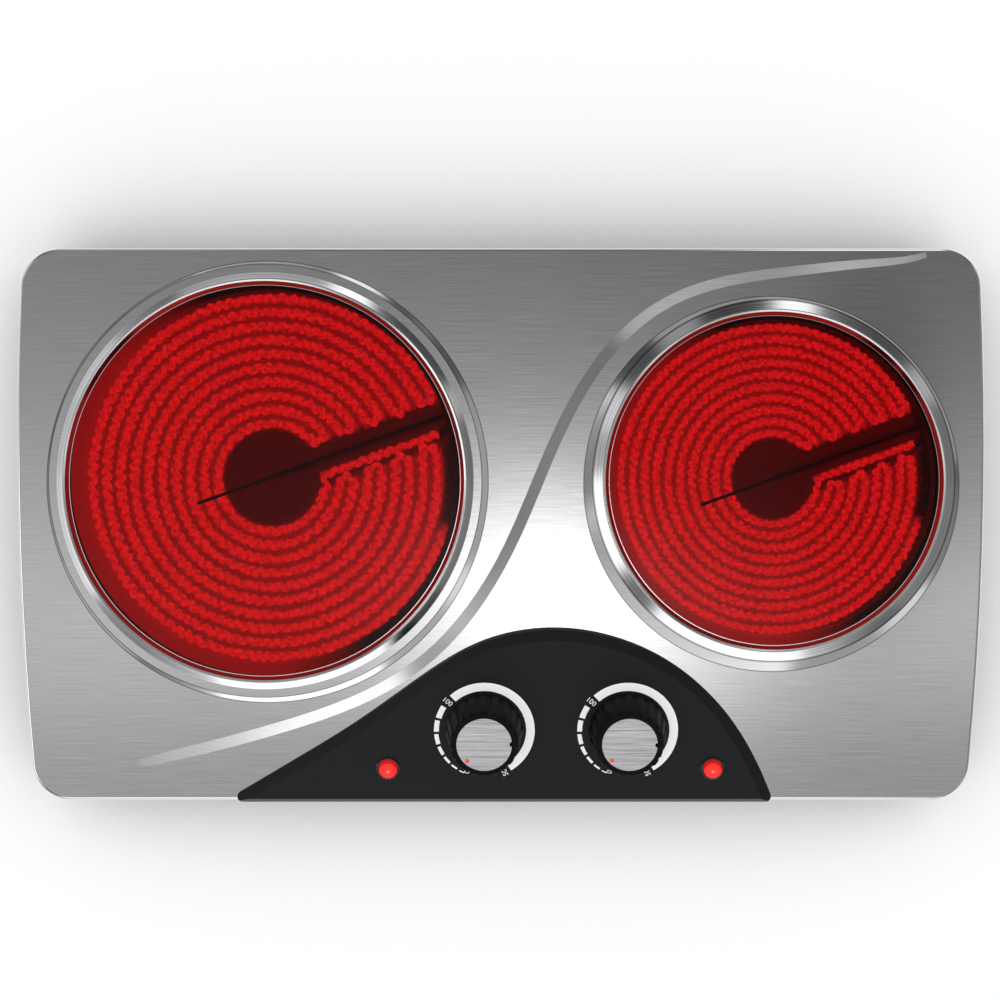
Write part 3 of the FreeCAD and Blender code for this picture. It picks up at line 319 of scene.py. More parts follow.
def glowing_resistance_alloy(side):
    """Iron-chrome ribbon at red heat, blotchy along its length, cold towards its outer lead."""
    material, tree = new_material(side + "_glowing_resistance_alloy")
    flat, radius, ahead, aside = heater_place(tree, side)
    blotch = add(tree, "ShaderNodeTexNoise", {"Vector": flat, "Scale": 1 / RIBBON_BLOTCH, "Detail": 2.0})
    dull = tuple(RIBBON_DULL * c for c in GLOW) + (1.0,)
    heat = add(tree, "ShaderNodeValToRGB", {"Fac": blotch}, stops=((0.32, dull), (0.62, GLOW + (1.0,))))
    warm = warm_share(tree, side, radius, ahead, aside)
    strength = add(tree, "ShaderNodeMath", {0: warm, 1: RIBBON_STRENGTH}, operation="MULTIPLY")
    alloy = add(tree, "ShaderNodeBsdfPrincipled", {
        "Base Color": linear("#5A2A26"), "Roughness": 0.6, "Emission Color": heat, "Emission Strength": strength})
    add(tree, "ShaderNodeOutputMaterial", {"Surface": alloy})
    return material


def hot_insulation(side):
    """Pressed mineral fibre with its ribbon's light and shade painted on as glow: bright along the rows, dull between
    them, dark at the hub and in the lane of the limiter rod, and lit on one side of the rim."""
    material, tree = new_material(side + "_hot_insulation")
    first = FIRST_ROW[side]
    pitch = ROW_PITCH[side]
    last = first + (ROWS - 1) * pitch
    flat, radius, ahead, aside = heater_place(tree, side)
    mottle = add(tree, "ShaderNodeTexNoise", {"Vector": flat, "Scale": 1 / FIBRE_GRAIN, "Detail": 2.0})

    # Rows of light, whose edges wander by about a millimetre
    wander = add(tree, "ShaderNodeMapRange", {"Value": mottle, "To Min": -ROW_WANDER, "To Max": ROW_WANDER})
    bent = add(tree, "ShaderNodeMath", {0: radius, 1: wander}, operation="ADD")
    phase = add(tree, "ShaderNodeMapRange", {"Value": bent, "From Min": first, "From Max": first + pitch,
                                             "To Max": 2 * math.pi}, clamp=False)
    wave = add(tree, "ShaderNodeMath", {0: phase}, operation="COSINE")
    rows = add(tree, "ShaderNodeMapRange", {"Value": wave, "From Min": -0.7, "From Max": 0.3,
                                            "To Min": BETWEEN_ROWS, "To Max": ALONG_ROWS},
               interpolation_type="SMOOTHSTEP")
    hub = add(tree, "ShaderNodeMapRange", {"Value": radius, "From Min": first - 0.6 * pitch,
                                           "From Max": first - 0.2 * pitch})
    lane = add(tree, "ShaderNodeMath", {0: aside, 1: wander}, operation="ADD")
    lane = add(tree, "ShaderNodeMath", {0: lane, 1: (DARK_FRONT + DARK_BACK) / 2}, operation="SUBTRACT")
    lane = add(tree, "ShaderNodeMath", {0: lane}, operation="ABSOLUTE")
    half_lane = (DARK_BACK - DARK_FRONT) / 2
    beside = add(tree, "ShaderNodeMapRange", {"Value": lane, "From Min": half_lane * 0.85, "From Max": half_lane * 1.1})
    behind = add(tree, "ShaderNodeMath", {0: ahead, 1: 0.0}, operation="LESS_THAN")
    lit = add(tree, "ShaderNodeMath", {0: beside, 1: behind}, operation="MAXIMUM")
    warm = warm_share(tree, side, radius, ahead, aside)
    painted_bed_light = add(tree, "ShaderNodeMath", {0: rows, 1: hub}, operation="MULTIPLY")
    painted_bed_light = add(tree, "ShaderNodeMath", {0: painted_bed_light, 1: lit}, operation="MULTIPLY")
    painted_bed_light = add(tree, "ShaderNodeMath", {0: painted_bed_light, 1: warm}, operation="MULTIPLY")
    painted_bed_light = add(tree, "ShaderNodeMath", {0: painted_bed_light, 1: LEAST_GLOW}, operation="MAXIMUM")
    off_lead = add(tree, "ShaderNodeMath", {0: aside, 1: LEAD_IN}, operation="ADD")
    off_lead = add(tree, "ShaderNodeMath", {0: off_lead}, operation="ABSOLUTE")
    lead = add(tree, "ShaderNodeMapRange", {"Value": off_lead, "From Min": LEAD_GLOW_HALF / 3,
                                            "From Max": LEAD_GLOW_HALF, "To Min": LEAD_GLOW, "To Max": 0.0})
    past_hub = add(tree, "ShaderNodeMath", {0: ahead, 1: 0.85 * first}, operation="GREATER_THAN")
    lead = add(tree, "ShaderNodeMath", {0: lead, 1: past_hub}, operation="MULTIPLY")
    in_rows = add(tree, "ShaderNodeMath", {0: radius, 1: last - pitch / 2}, operation="LESS_THAN")
    lead = add(tree, "ShaderNodeMath", {0: lead, 1: in_rows}, operation="MULTIPLY")
    painted_bed_light = add(tree, "ShaderNodeMath", {0: painted_bed_light, 1: lead}, operation="MAXIMUM")
    off_rod = add(tree, "ShaderNodeMath", {0: aside}, operation="ABSOLUTE")
    open_bed = add(tree, "ShaderNodeMapRange", {"Value": off_rod, "From Min": ROD_SHADE / 2, "From Max": ROD_SHADE,
                                                "To Min": 0.3})
    open_bed = add(tree, "ShaderNodeMath", {0: open_bed, 1: behind}, operation="MAXIMUM")
    painted_bed_light = add(tree, "ShaderNodeMath", {0: painted_bed_light, 1: open_bed}, operation="MULTIPLY")

    # The rim, with painted light on the side that lies open under the glass
    way = add(tree, "ShaderNodeVectorMath", {0: flat}, operation="NORMALIZE")
    facing = add(tree, "ShaderNodeVectorMath", {0: way, 1: (math.cos(RIM_GLOW_AT), math.sin(RIM_GLOW_AT), 0)},
                 out="Value", operation="DOT_PRODUCT")
    rim_light = add(tree, "ShaderNodeMapRange", {"Value": facing, "From Min": -0.1, "From Max": 0.4,
                                                 "To Max": RIM_GLOW})
    rim = add(tree, "ShaderNodeMapRange", {"Value": radius, "From Min": last + 0.2 * pitch,
                                           "From Max": last + 0.4 * pitch})
    light = add(tree, "ShaderNodeMix", {"Factor": rim, 2: painted_bed_light, 3: rim_light})
    heat = add(tree, "ShaderNodeValToRGB", {"Fac": light}, stops=((0.0, grey(0.0)), (1.0, GLOW + (1.0,))))
    colour = add(tree, "ShaderNodeValToRGB", {"Fac": mottle},
                 stops=((0.3, linear("#4E4038")), (0.7, linear("#66564C"))))
    bump = add(tree, "ShaderNodeBump", {"Height": mottle, "Strength": 0.3, "Distance": 0.3 * MM})
    fibre = add(tree, "ShaderNodeBsdfPrincipled", {
        "Base Color": colour, "Roughness": 0.95, "Specular IOR Level": 0.1, "Normal": bump,
        "Emission Color": heat, "Emission Strength": BED_STRENGTH})
    add(tree, "ShaderNodeOutputMaterial", {"Surface": fibre})
    return material


def plain_finish(name, dark, light, grain, roughness, metallic=0.0, bump=0.2, specular=0.5, painted_front_sheen=None):
    """A surface whose colour, sheen and relief all vary by one fine mottle of the given grain size.

    A lighter colour, a painted highlight, shows on the edges that slope to the front.
    """
    material, tree = new_material(name)
    point = add(tree, "ShaderNodeTexCoord", out="Object")
    mottle = add(tree, "ShaderNodeTexNoise", {"Vector": point, "Scale": 1 / grain, "Detail": 3.0})
    colour = add(tree, "ShaderNodeValToRGB", {"Fac": mottle}, stops=((0.3, linear(dark)), (0.7, linear(light))))
    # Painted highlight: the edges that slope up to the front are made lighter
    if painted_front_sheen:
        normal = add(tree, "ShaderNodeNewGeometry", out="Normal")
        slope = add(tree, "ShaderNodeVectorMath", {0: normal, 1: (0, -0.7, 0.7)}, out="Value", operation="DOT_PRODUCT")
        edge = add(tree, "ShaderNodeMapRange", {"Value": slope, "From Min": 0.93, "From Max": 0.98})
        colour = add(tree, "ShaderNodeMix", {"Factor": edge, 6: colour, 7: linear(painted_front_sheen)}, out=2, data_type="RGBA")
    rough = add(tree, "ShaderNodeMapRange", {"Value": mottle, "To Min": roughness * 0.85,
                                             "To Max": min(1.0, roughness * 1.15)})
    relief = add(tree, "ShaderNodeBump", {"Height": mottle, "Strength": bump, "Distance": grain / 4})
    surface = add(tree, "ShaderNodeBsdfPrincipled", {
        "Base Color": colour, "Metallic": metallic, "Roughness": rough, "Specular IOR Level": specular,
        "Normal": relief})
    add(tree, "ShaderNodeOutputMaterial", {"Surface": surface})
    return material


def brushed_aluminium():
    """Cap sheet with broad, uneven brush lines from side to side."""
    material, tree = new_material("brushed_aluminium")
    point = add(tree, "ShaderNodeTexCoord", out="Object")
    streaks = add(tree, "ShaderNodeMapping", {"Vector": point,
                                              "Scale": (1 / (30 * MM), 1 / (0.6 * MM), 1 / (4 * MM))})
    lines = add(tree, "ShaderNodeTexNoise", {"Vector": streaks, "Scale": 1.0, "Detail": 3.0, "Roughness": 0.65})
    colour = add(tree, "ShaderNodeValToRGB", {"Fac": lines},
                 stops=((0.3, linear("#7E7E80")), (0.7, linear("#BCBCBE"))))
    rough = add(tree, "ShaderNodeMapRange", {"Value": lines, "To Min": 0.28, "To Max": 0.42})
    bump = add(tree, "ShaderNodeBump", {"Height": lines, "Strength": 0.1, "Distance": 0.05 * MM})
    across = add(tree, "ShaderNodeCombineXYZ", {"Y": 1.0})
    metal = add(tree, "ShaderNodeBsdfPrincipled", {
        "Base Color": colour, "Metallic": 1.0, "Roughness": rough, "Anisotropic": 0.6, "Tangent": across,
        "Normal": bump})
    add(tree, "ShaderNodeOutputMaterial", {"Surface": metal})
    return material


LENS_RADIUS = 4.3 * MM
LENS_CELL = 1.25 * MM
LENS_SPOT_AHEAD = 1.6 * MM


def lit_lamp_lens(side):
    """Red acrylic lens moulded in a fine criss-cross, lit from behind by a small bright lamp."""
    material, tree = new_material(side + "_lit_lamp_lens")
    middle = box_middle(side + "_lamp_lens")
    point = add(tree, "ShaderNodeTexCoord", out="Object")
    spot = (middle.x, middle.y - LENS_SPOT_AHEAD, 0)
    spoke = add(tree, "ShaderNodeVectorMath", {0: point, 1: spot}, operation="SUBTRACT")
    flat = add(tree, "ShaderNodeVectorMath", {0: spoke, 1: (1 / LENS_RADIUS, 1 / LENS_RADIUS, 0)},
               operation="MULTIPLY")
    share = add(tree, "ShaderNodeVectorMath", {0: flat}, out="Value", operation="LENGTH")
    heat = add(tree, "ShaderNodeValToRGB", {"Fac": share}, stops=(
        (0.0, (1.0, 0.42, 0.30, 1)), (0.2, (1.0, 0.055, 0.045, 1)), (0.9, (0.95, 0.022, 0.018, 1)),
        (1.0, (0.5, 0.01, 0.01, 1))))
    turned = add(tree, "ShaderNodeMapping", {"Vector": spoke, "Rotation": (0, 0, math.radians(45)),
                                             "Scale": (1 / LENS_CELL, 1 / LENS_CELL, 0)})
    cells = add(tree, "ShaderNodeTexVoronoi", {"Vector": turned, "Scale": 1.0, "Randomness": 0.0}, out="Distance")
    glow = add(tree, "ShaderNodeMapRange", {"Value": cells, "From Max": 0.7, "To Min": 1.25, "To Max": 0.5})
    bump = add(tree, "ShaderNodeBump", {"Height": cells, "Strength": 0.4, "Distance": 0.15 * MM})
    lens = add(tree, "ShaderNodeBsdfPrincipled", {
        "Base Color": linear("#7A0A0A"), "Roughness": 0.15, "Specular IOR Level": 0.12, "Emission Color": heat,
        "Emission Strength": glow, "Normal": bump})
    add(tree, "ShaderNodeOutputMaterial", {"Surface": lens})
    return material


steel = brushed_stainless_steel()
abs_plastic = plain_finish("moulded_black_abs", "#0D0E11", "#121316", 0.6 * MM, 0.55, bump=0.10, specular=0.2,
                           painted_front_sheen="#4C4D4F")
knob_plastic = plain_finish("satin_black_abs", "#060708", "#0A0B0C", 0.5 * MM, 0.5, bump=0.06, specular=0.07)
rubber = plain_finish("black_rubber", "#161616", "#1F1F1F", 0.8 * MM, 0.85, bump=0.25, specular=0.2)
nylon = plain_finish("gloss_black_nylon", "#08090A", "#0E0F10", 0.7 * MM, 0.14, bump=0.03)
paint = plain_finish("black_powder_coat", "#1B1C1D", "#26272A", 0.5 * MM, 0.6, bump=0.35)
zinc = plain_finish("zinc_plated_steel", "#9EA0A0", "#C6C8C8", 6 * MM, 0.4, metallic=1.0, bump=0.05)
ceramic = plain_finish("unglazed_steatite", "#CFC8BA", "#DED8CC", 1.5 * MM, 0.8, bump=0.2)
brass = plain_finish("plain_brass", "#B4924C", "#D2B06A", 3 * MM, 0.35, metallic=1.0, bump=0.05)
sleeve = plain_finish("silicone_sleeve", "#A8A29A", "#C2BCB4", 1 * MM, 0.6, bump=0.15)
scale = plain_finish("heat_scaled_steel", "#140A0A", "#241210", 2 * MM, 0.7, bump=0.3)
orange = plain_finish("orange_inlay", "#DE4212", "#EC4E20", 0.4 * MM, 0.35, bump=0.05)
ink = plain_finish("white_print_ink", "#F6F9FA", "#FFFFFF", 0.5 * MM, 0.6, bump=0.1)

dress(steel, "top_shell")
dress(abs_plastic, "control_console")
nodes["control_console"].visible_glossy = False   # the plate mirrors the pale studio in front, not the black housing
dress(paint, "base_pan")
dress(nylon, "cord_gland")
dress(ceramic, "terminal_block")
dress(zinc, "heat_shield", "skirt_brackets", "pan_screws", "console_screws", "thermostat_screws")
dress(sleeve, "live_wires", "lamp_wires", "earth_wire")
dress(rubber, "front_left_foot", "front_right_foot", "back_left_foot", "back_right_foot")
glass = red_glass_ceramic()
aluminium = brushed_aluminium()
fibres = {side: hot_insulation(side) for side in SIDES}
for side in SIDES:
    dress(polished_stainless_steel(side), side + "_trim_ring")
    dress(glass, side + "_glass_disc")
    dress(rubber, side + "_glass_seal")
    dress(fibres[side], side + "_insulation_base", side + "_insulation_rim")
    dress(scale, side + "_limiter_rod")
    dress(ceramic, side + "_limiter_head", side + "_thermostat")
    dress(brass, side + "_heater_terminals")
    dress(zinc, side + "_heater_dish", side + "_heater_strap", side + "_heater_spring", side + "_shaft")
    dress(sleeve, side + "_heater_wires")
    dress(nylon, side + "_lamp_body")
    dress(knob_plastic, side + "_knob")
    dress(aluminium, side + "_knob_cap")
    dress(orange, side + "_knob_pointer")
    dress(lit_lamp_lens(side), side + "_lamp_lens")


# New pieces


def make_piece(name, mesh_or_bmesh, material, body, slot, *replaced):
    """Puts a finished mesh into the scene as a piece that rides on a body."""
    mesh = mesh_or_bmesh
    if isinstance(mesh_or_bmesh, bmesh.types.BMesh):
        mesh = bpy.data.meshes.new(name)
        mesh_or_bmesh.to_mesh(mesh)
        mesh_or_bmesh.free()
    mesh.materials.clear()
    mesh.materials.append(material)
    piece = bpy.data.objects.new(name, mesh)
    bpy.context.scene.collection.objects.link(piece)
    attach(piece, body)
    if replaced:
        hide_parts(*replaced)
    return piece


def arc_points(centre, radius, start, end):
    steps = max(2, round(abs(end - start) * radius / RIBBON_STEP))
    angles = [start + (end - start) * i / steps for i in range(steps)]
    return [centre + Vector((math.cos(a), math.sin(a))) * radius for a in angles]


def line_points(start, end):
    steps = max(2, round((end - start).length / RIBBON_STEP))
    return [start.lerp(end, i / steps) for i in range(steps)]


def ribbon_route(side, rim):
    """The ribbon's middle line: in along the first lead, to and fro over the rows, out along the second."""
    hub = Vector((0, 0))
    pitch = ROW_PITCH[side]
    half = pitch / 2

    def lead_corner(row, lead_aside):
        aside = lead_aside + LEAD_BEND
        ahead = math.sqrt((row + LEAD_BEND) ** 2 - aside ** 2)
        return Vector((ahead, -aside)), -math.atan2(aside, ahead)

    corner, angle = lead_corner(FIRST_ROW[side], LEAD_IN)
    route = line_points(Vector((rim, -LEAD_IN)), Vector((corner.x, -LEAD_IN)))
    route += arc_points(corner, LEAD_BEND, math.pi / 2, angle + math.pi)
    for row in range(ROWS):
        radius = FIRST_ROW[side] + row * pitch
        outward = row % 2 == 0
        if row == ROWS - 1:
            corner, end = lead_corner(radius, LEAD_OUT)
        elif outward:
            end = math.asin(TURN_BACK / (radius + half)) - 2 * math.pi
        else:
            end = -math.asin(TURN_FRONT / (radius + half))
        route += arc_points(hub, radius, angle, end)
        if row < ROWS - 1:
            turn = Vector((math.cos(end), math.sin(end))) * (radius + half)
            sweep = math.pi if outward else -math.pi
            route += arc_points(turn, half, end + math.pi, end + math.pi + sweep)
        angle = end
    route += arc_points(corner, LEAD_BEND, angle + math.pi, math.pi / 2)
    route += line_points(Vector((corner.x, -LEAD_OUT)), Vector((rim, -LEAD_OUT)))
    return route


def corrugated(route, side):
    """The route's points moved to one side and the other in a wave that is a little uneven, as a rolled ribbon's is."""
    waved = []
    travelled = 0.0
    for before, point, after in zip(route, route[1:], route[2:]):
        travelled += (point - before).length
        along = (after - before).normalized()
        aside = Vector((-along.y, along.x))
        turns = 2 * math.pi * travelled
        phase = turns / WAVE_LENGTH[side] + sum(WAVE_DRIFT * math.sin(turns / drift) for drift in WAVE_DRIFTS)
        swing = WAVE_SIDE[side] * (1 + WAVE_SWELL_SHARE * math.sin(turns / WAVE_SWELL))
        waved.append(point + aside * swing * math.sin(phase))
    return waved


def heating_ribbon(side):
    middle = box_middle(side + "_insulation_base")
    rim = box_radius(side + "_insulation_base")
    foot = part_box(side + "_heating_element")[0].z
    bm = bmesh.new()
    line = [bm.verts.new((p.x, p.y, foot)) for p in corrugated(ribbon_route(side, rim), side)]
    edges = [bm.edges.new(pair) for pair in zip(line, line[1:])]
    raised = bmesh.ops.extrude_edge_only(bm, edges=edges)["geom"]
    crowns = [v for v in raised if isinstance(v, bmesh.types.BMVert)]
    bmesh.ops.translate(bm, verts=crowns, vec=(0, 0, RIBBON_HEIGHT))
    place = Matrix.Translation((middle.x, middle.y, 0)) @ Matrix.Rotation(ROD_ANGLE, 4, "Z")
    bmesh.ops.transform(bm, matrix=place, verts=bm.verts[:])
    ribbon = make_piece(side + "_heating_ribbon", bm, glowing_resistance_alloy(side), "housing", "element_alloy",
                        side + "_heating_element")
    sheet = ribbon.modifiers.new("sheet", "SOLIDIFY")
    sheet.thickness = RIBBON_THICKNESS[side]
    sheet.offset = 0.0


def fibre_rim(side, fibre):
    """The wall round the bed, its crest just clear of the glass."""
    low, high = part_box(side + "_insulation_rim")
    middle = box_middle(side + "_insulation_rim")
    outer = box_radius(side + "_insulation_rim")
    inner = outer - FIBRE_RIM_WIDTH
    crest = high.z - FIBRE_RIM_DROP
    bm = bmesh.new()
    corners = [bm.verts.new((r, 0, z)) for r, z in ((inner, low.z), (outer, low.z), (outer, crest), (inner, crest))]
    section = [bm.edges.new(pair) for pair in zip(corners, corners[1:] + corners[:1])]
    bmesh.ops.spin(bm, geom=corners + section, axis=(0, 0, 1), cent=(0, 0, 0), angle=2 * math.pi, steps=180,
                   use_merge=True)
    bmesh.ops.recalc_face_normals(bm, faces=bm.faces[:])
    bmesh.ops.translate(bm, vec=(middle.x, middle.y, 0), verts=bm.verts[:])
    make_piece(side + "_fibre_rim", bm, fibre, "housing", "insulation", side + "_insulation_rim")


def panel_place(joint):
    """From the flat of the print to the console face round one dial's axis."""
    outward = -Vector(joint["axis"]).normalized()
    across = Vector((1, 0, 0))
    back = outward.cross(across)
    turn = Matrix((across, back, outward)).transposed().to_4x4()
    return Matrix.Translation(joint["pos_m"]) @ turn


def add_arc(bm, inner, outer, start, end):
    """One closed bar of print between two radii and two angles, in degrees."""
    corners = [(inner, 0), (outer, 0), (outer, PRINT_THICKNESS), (inner, PRINT_THICKNESS)]
    turn = Matrix.Rotation(math.radians(start), 4, "Z")
    section = bm.faces.new([bm.verts.new(turn @ Vector((r, 0, z))) for r, z in corners])
    steps = max(2, round(abs(end - start) / 3))
    bmesh.ops.spin(bm, geom=[section] + section.edges[:] + section.verts[:], axis=(0, 0, 1), cent=(0, 0, 0),
                   angle=math.radians(end - start), steps=steps)


def dial_print(side):
    place = panel_place(joints[side + "_dial_turn"])
    bm = bmesh.new()
    add_arc(bm, PRINT_INNER, PRINT_OUTER, BAR_START, BAR_END)
    angle = DASH_FIRST
    for dash in range(DASHES):
        share = dash / (DASHES - 1)
        sweep = DASH_LONGEST + (DASH_SHORTEST - DASH_LONGEST) * share
        width = DASH_WIDEST + (DASH_THINNEST - DASH_WIDEST) * share
        add_arc(bm, PRINT_OUTER - width, PRINT_OUTER, angle, angle + sweep)
        angle += sweep + DASH_GAP
    bmesh.ops.holes_fill(bm, edges=[e for e in bm.edges if e.is_boundary])
    bmesh.ops.recalc_face_normals(bm, faces=bm.faces[:])
    bmesh.ops.transform(bm, matrix=place, verts=bm.verts[:])
    make_piece(side + "_dial_scale", bm, ink, "housing", None)


def numeral(side, sign, angle):
    curve = bpy.data.curves.new("numeral", "FONT")
    curve.body = sign
    curve.size = NUMERAL_HEIGHT
    curve.align_x = "CENTER"
    curve.align_y = "CENTER"
    curve.extrude = PRINT_THICKNESS / 2
    letter = bpy.data.objects.new("numeral", curve)
    mesh = bpy.data.meshes.new_from_object(letter)
    bpy.data.objects.remove(letter)
    spot = Vector((math.cos(math.radians(angle)), math.sin(math.radians(angle)), 0)) * NUMERAL_RADIUS
    spot.z = PRINT_THICKNESS / 2
    turn = Matrix.Rotation(math.radians(angle + 180), 4, "Z")
    mesh.transform(panel_place(joints[side + "_dial_turn"]) @ Matrix.Translation(spot) @ turn)
    make_piece(side + "_numeral_" + sign, mesh, ink, "housing", None)


for side in SIDES:
    heating_ribbon(side)
    fibre_rim(side, fibres[side])
    dial_print(side)
    for sign, angle in NUMERALS:
        numeral(side, sign, angle)


# Stage: pale floor, white surroundings, and cards that only the metal mirrors


FRONT_LIGHT = 0.3       # how much more light comes from the front than from the back
SKY_FOOT = 0.25         # light from the horizon and from straight above, which together make 1 on the floor
SKY_HEAD = 1.375
FLOOR_RADIUS = 15.0
FLOOR_LIFT = 0.045      # white added to the floor where the camera sees it, and where metal mirrors it
FLOOR_MIRROR_LIFT = 0.5
SHADOW_REACH = 0.12     # SHADOW_REACH = 0.12 # how near the object the painted shadow deepens
SHADOW_SKY = (0.55, 0.8)
SHADOW_DEPTH = 0.74


def floor_paper():
    """White seamless paper: keeps the soft shadow, deepened near the object by a painted shadow, and shows as plain
    white where it is lit.
    """
    material, tree = new_material("floor_paper")
    eye, mirror, through = [add(tree, "ShaderNodeLightPath", out=kind)
                            for kind in ("Is Camera Ray", "Is Glossy Ray", "Is Transmission Ray")]
    seen = add(tree, "ShaderNodeMath", {0: eye, 1: through}, operation="MAXIMUM")
    lift = add(tree, "ShaderNodeMath", {0: seen, 1: FLOOR_LIFT}, operation="MULTIPLY")
    lift = add(tree, "ShaderNodeMath", {0: mirror, 1: FLOOR_MIRROR_LIFT, 2: lift}, operation="MULTIPLY_ADD")
    point = add(tree, "ShaderNodeTexCoord", out="Object")
    fibre = add(tree, "ShaderNodeTexNoise", {"Vector": point, "Scale": 1 / (2 * MM)})
    colour = add(tree, "ShaderNodeValToRGB", {"Fac": fibre}, stops=((0.3, grey(0.975)), (0.7, grey(0.985))))
    # Painted shadow: the paper is darkened near the object, where little open sky reaches it
    open_sky = add(tree, "ShaderNodeAmbientOcclusion", {"Distance": SHADOW_REACH}, out="AO", samples=8)
    depth = add(tree, "ShaderNodeMapRange", {"Value": open_sky, "From Min": SHADOW_SKY[0], "From Max": SHADOW_SKY[1],
                                             "To Min": SHADOW_DEPTH})
    colour = add(tree, "ShaderNodeVectorMath", {0: colour, "Scale": depth}, operation="SCALE")
    paper = add(tree, "ShaderNodeBsdfPrincipled", {
        "Base Color": colour, "Roughness": 1.0, "Specular IOR Level": 0.0, "Emission Color": grey(1.0),
        "Emission Strength": lift})
    add(tree, "ShaderNodeOutputMaterial", {"Surface": paper})
    return material


def stage_object(name, bm, material):
    mesh = bpy.data.meshes.new(name)
    bm.to_mesh(mesh)
    bm.free()
    mesh.materials.append(material)
    obj = bpy.data.objects.new(name, mesh)
    bpy.context.scene.collection.objects.link(obj)
    return obj


def floor():
    bm = bmesh.new()
    bmesh.ops.create_circle(bm, cap_ends=True, segments=96, radius=FLOOR_RADIUS)
    stage_object("floor", bm, floor_paper())


def first_mirror(tree):
    """1 in what the camera sees mirrored, 0 in the light that a mirror throws on to the floor."""
    bounces = add(tree, "ShaderNodeLightPath", out="Diffuse Depth")
    return add(tree, "ShaderNodeMath", {0: 1.0, 1: bounces}, operation="SUBTRACT", use_clamp=True)


def mirrored_only(card):
    """A card that shows in reflections and neither lights nor shades anything."""
    card.visible_camera = False
    card.visible_diffuse = False
    card.visible_transmission = False
    card.visible_shadow = False
    card.visible_volume_scatter = False


SURROUND_FOOT = 3.0
SURROUND_HEAD = 1.25
SURROUND_HEIGHT = 3.6
SURROUND_DIM = (2.75, 3.3)   # heights between which the flats grow dimmer, and how dim they get
SURROUND_DIM_LEVEL = 0.6
SURROUND_BLEND = 0.03        # half the height over which one band turns into the next
# Brightness round the object in bands: each band's top, then degrees from +X anticlockwise with their level
SURROUND_BANDS = (
    (0.95, ((0, 0.5), (180, 0.7))),
    (1.74, ((2, 0.2), (21, 0.2), (24, 0.55), (31, 0.55), (35, 0.09), (57, 0.08), (65, 0.15), (70, 1.6), (78, 1.6),
            (82, 0.42), (106, 0.5), (121, 0.42), (124, 0.09), (140, 0.09), (144, 0.84), (158, 0.84), (161, 0.44),
            (176, 0.44), (179, 1.6), (207, 1.6), (210, 0.12), (226, 0.23), (237, 0.5), (245, 0.75), (249, 1.6),
            (298, 1.6), (302, 0.07), (322, 0.08), (325, 0.23), (350, 0.24))),
    (2.72, ((1, 0.41), (22, 0.38), (30, 0.34), (33, 0.1), (47, 0.1), (50, 0.22), (63, 0.24), (66, 1.6), (75, 1.6),
            (79, 0.05), (101, 0.05), (104, 0.38), (117, 0.38), (120, 0.07), (138, 0.07), (141, 0.84), (157, 0.84),
            (160, 0.44), (175, 0.44), (178, 1.6), (215, 1.6), (219, 0.15), (236, 0.15), (239, 1.6), (290, 1.6),
            (294, 0.47), (317, 0.47), (321, 0.9), (332, 0.9), (335, 0.41))),
    (SURROUND_HEIGHT, ((0, 0.42), (230, 0.42), (246, 1.5), (289, 1.5), (295, 0.9), (300, 0.55), (306, 0.62), (313, 1.0),
                       (320, 0.55), (327, 0.3), (337, 0.23), (352, 0.42))))


def surround():
    """Studio flats that only the metal mirrors: pale and dark in turn round the object, leaning in."""
    material, tree = new_material("surround")
    point = add(tree, "ShaderNodeTexCoord", out="Object")
    turned = add(tree, "ShaderNodeMapping", {"Vector": point, "Rotation": (0, 0, math.pi)})
    share = add(tree, "ShaderNodeTexGradient", {"Vector": turned}, out="Fac", gradient_type="RADIAL")
    height = add(tree, "ShaderNodeSeparateXYZ", {0: point}, out="Z")
    bands = [add(tree, "ShaderNodeValToRGB", {"Fac": share},
                 stops=[(degrees / 360, grey(level)) for degrees, level in tones]) for _, tones in SURROUND_BANDS]
    flats = bands[0]
    for (top, _), above in zip(SURROUND_BANDS, bands[1:]):
        past = add(tree, "ShaderNodeMapRange", {"Value": height, "From Min": top - SURROUND_BLEND,
                                                "From Max": top + SURROUND_BLEND})
        flats = add(tree, "ShaderNodeMix", {"Factor": past, 6: flats, 7: above}, out=2, data_type="RGBA")
    dimmed = add(tree, "ShaderNodeMapRange", {"Value": height, "From Min": SURROUND_DIM[0], "From Max": SURROUND_DIM[1],
                                              "To Min": 1.0, "To Max": SURROUND_DIM_LEVEL})
    level = add(tree, "ShaderNodeMath", {0: dimmed, 1: first_mirror(tree)}, operation="MULTIPLY")
    light = add(tree, "ShaderNodeEmission", {"Color": flats, "Strength": level})
    add(tree, "ShaderNodeOutputMaterial", {"Surface": light})
    bm = bmesh.new()
    foot = bm.verts.new((SURROUND_FOOT, 0, 0))
    head = bm.verts.new((SURROUND_HEAD, 0, SURROUND_HEIGHT))
    post = bm.edges.new((foot, head))
    bmesh.ops.spin(bm, geom=[foot, head, post], axis=(0, 0, 1), cent=(0, 0, 0), angle=2 * math.pi, steps=120,
                   use_merge=True)
    mirrored_only(stage_object("surround", bm, material))


OVERHEAD_HEIGHT = 3.0
OVERHEAD_HALF = (1.3, 1.2)
CARD_ENDS = 0.85             # how far left and right the tones below stand
SPOT_PLACE = (0.10, -0.16)   # the card's bright middle
SPOT_REACH = (0.58, 0.33)
SPOT_TURN = math.radians(12)
SPOT_GAIN = 4.0
SHADE_PLACE = (0.66, 0.1)    # the dim patch that the end of the crease mirrors
SHADE_REACH = (0.17, 0.36)
SHADE_EDGE = 0.45
SHADE_LEVEL = 0.48
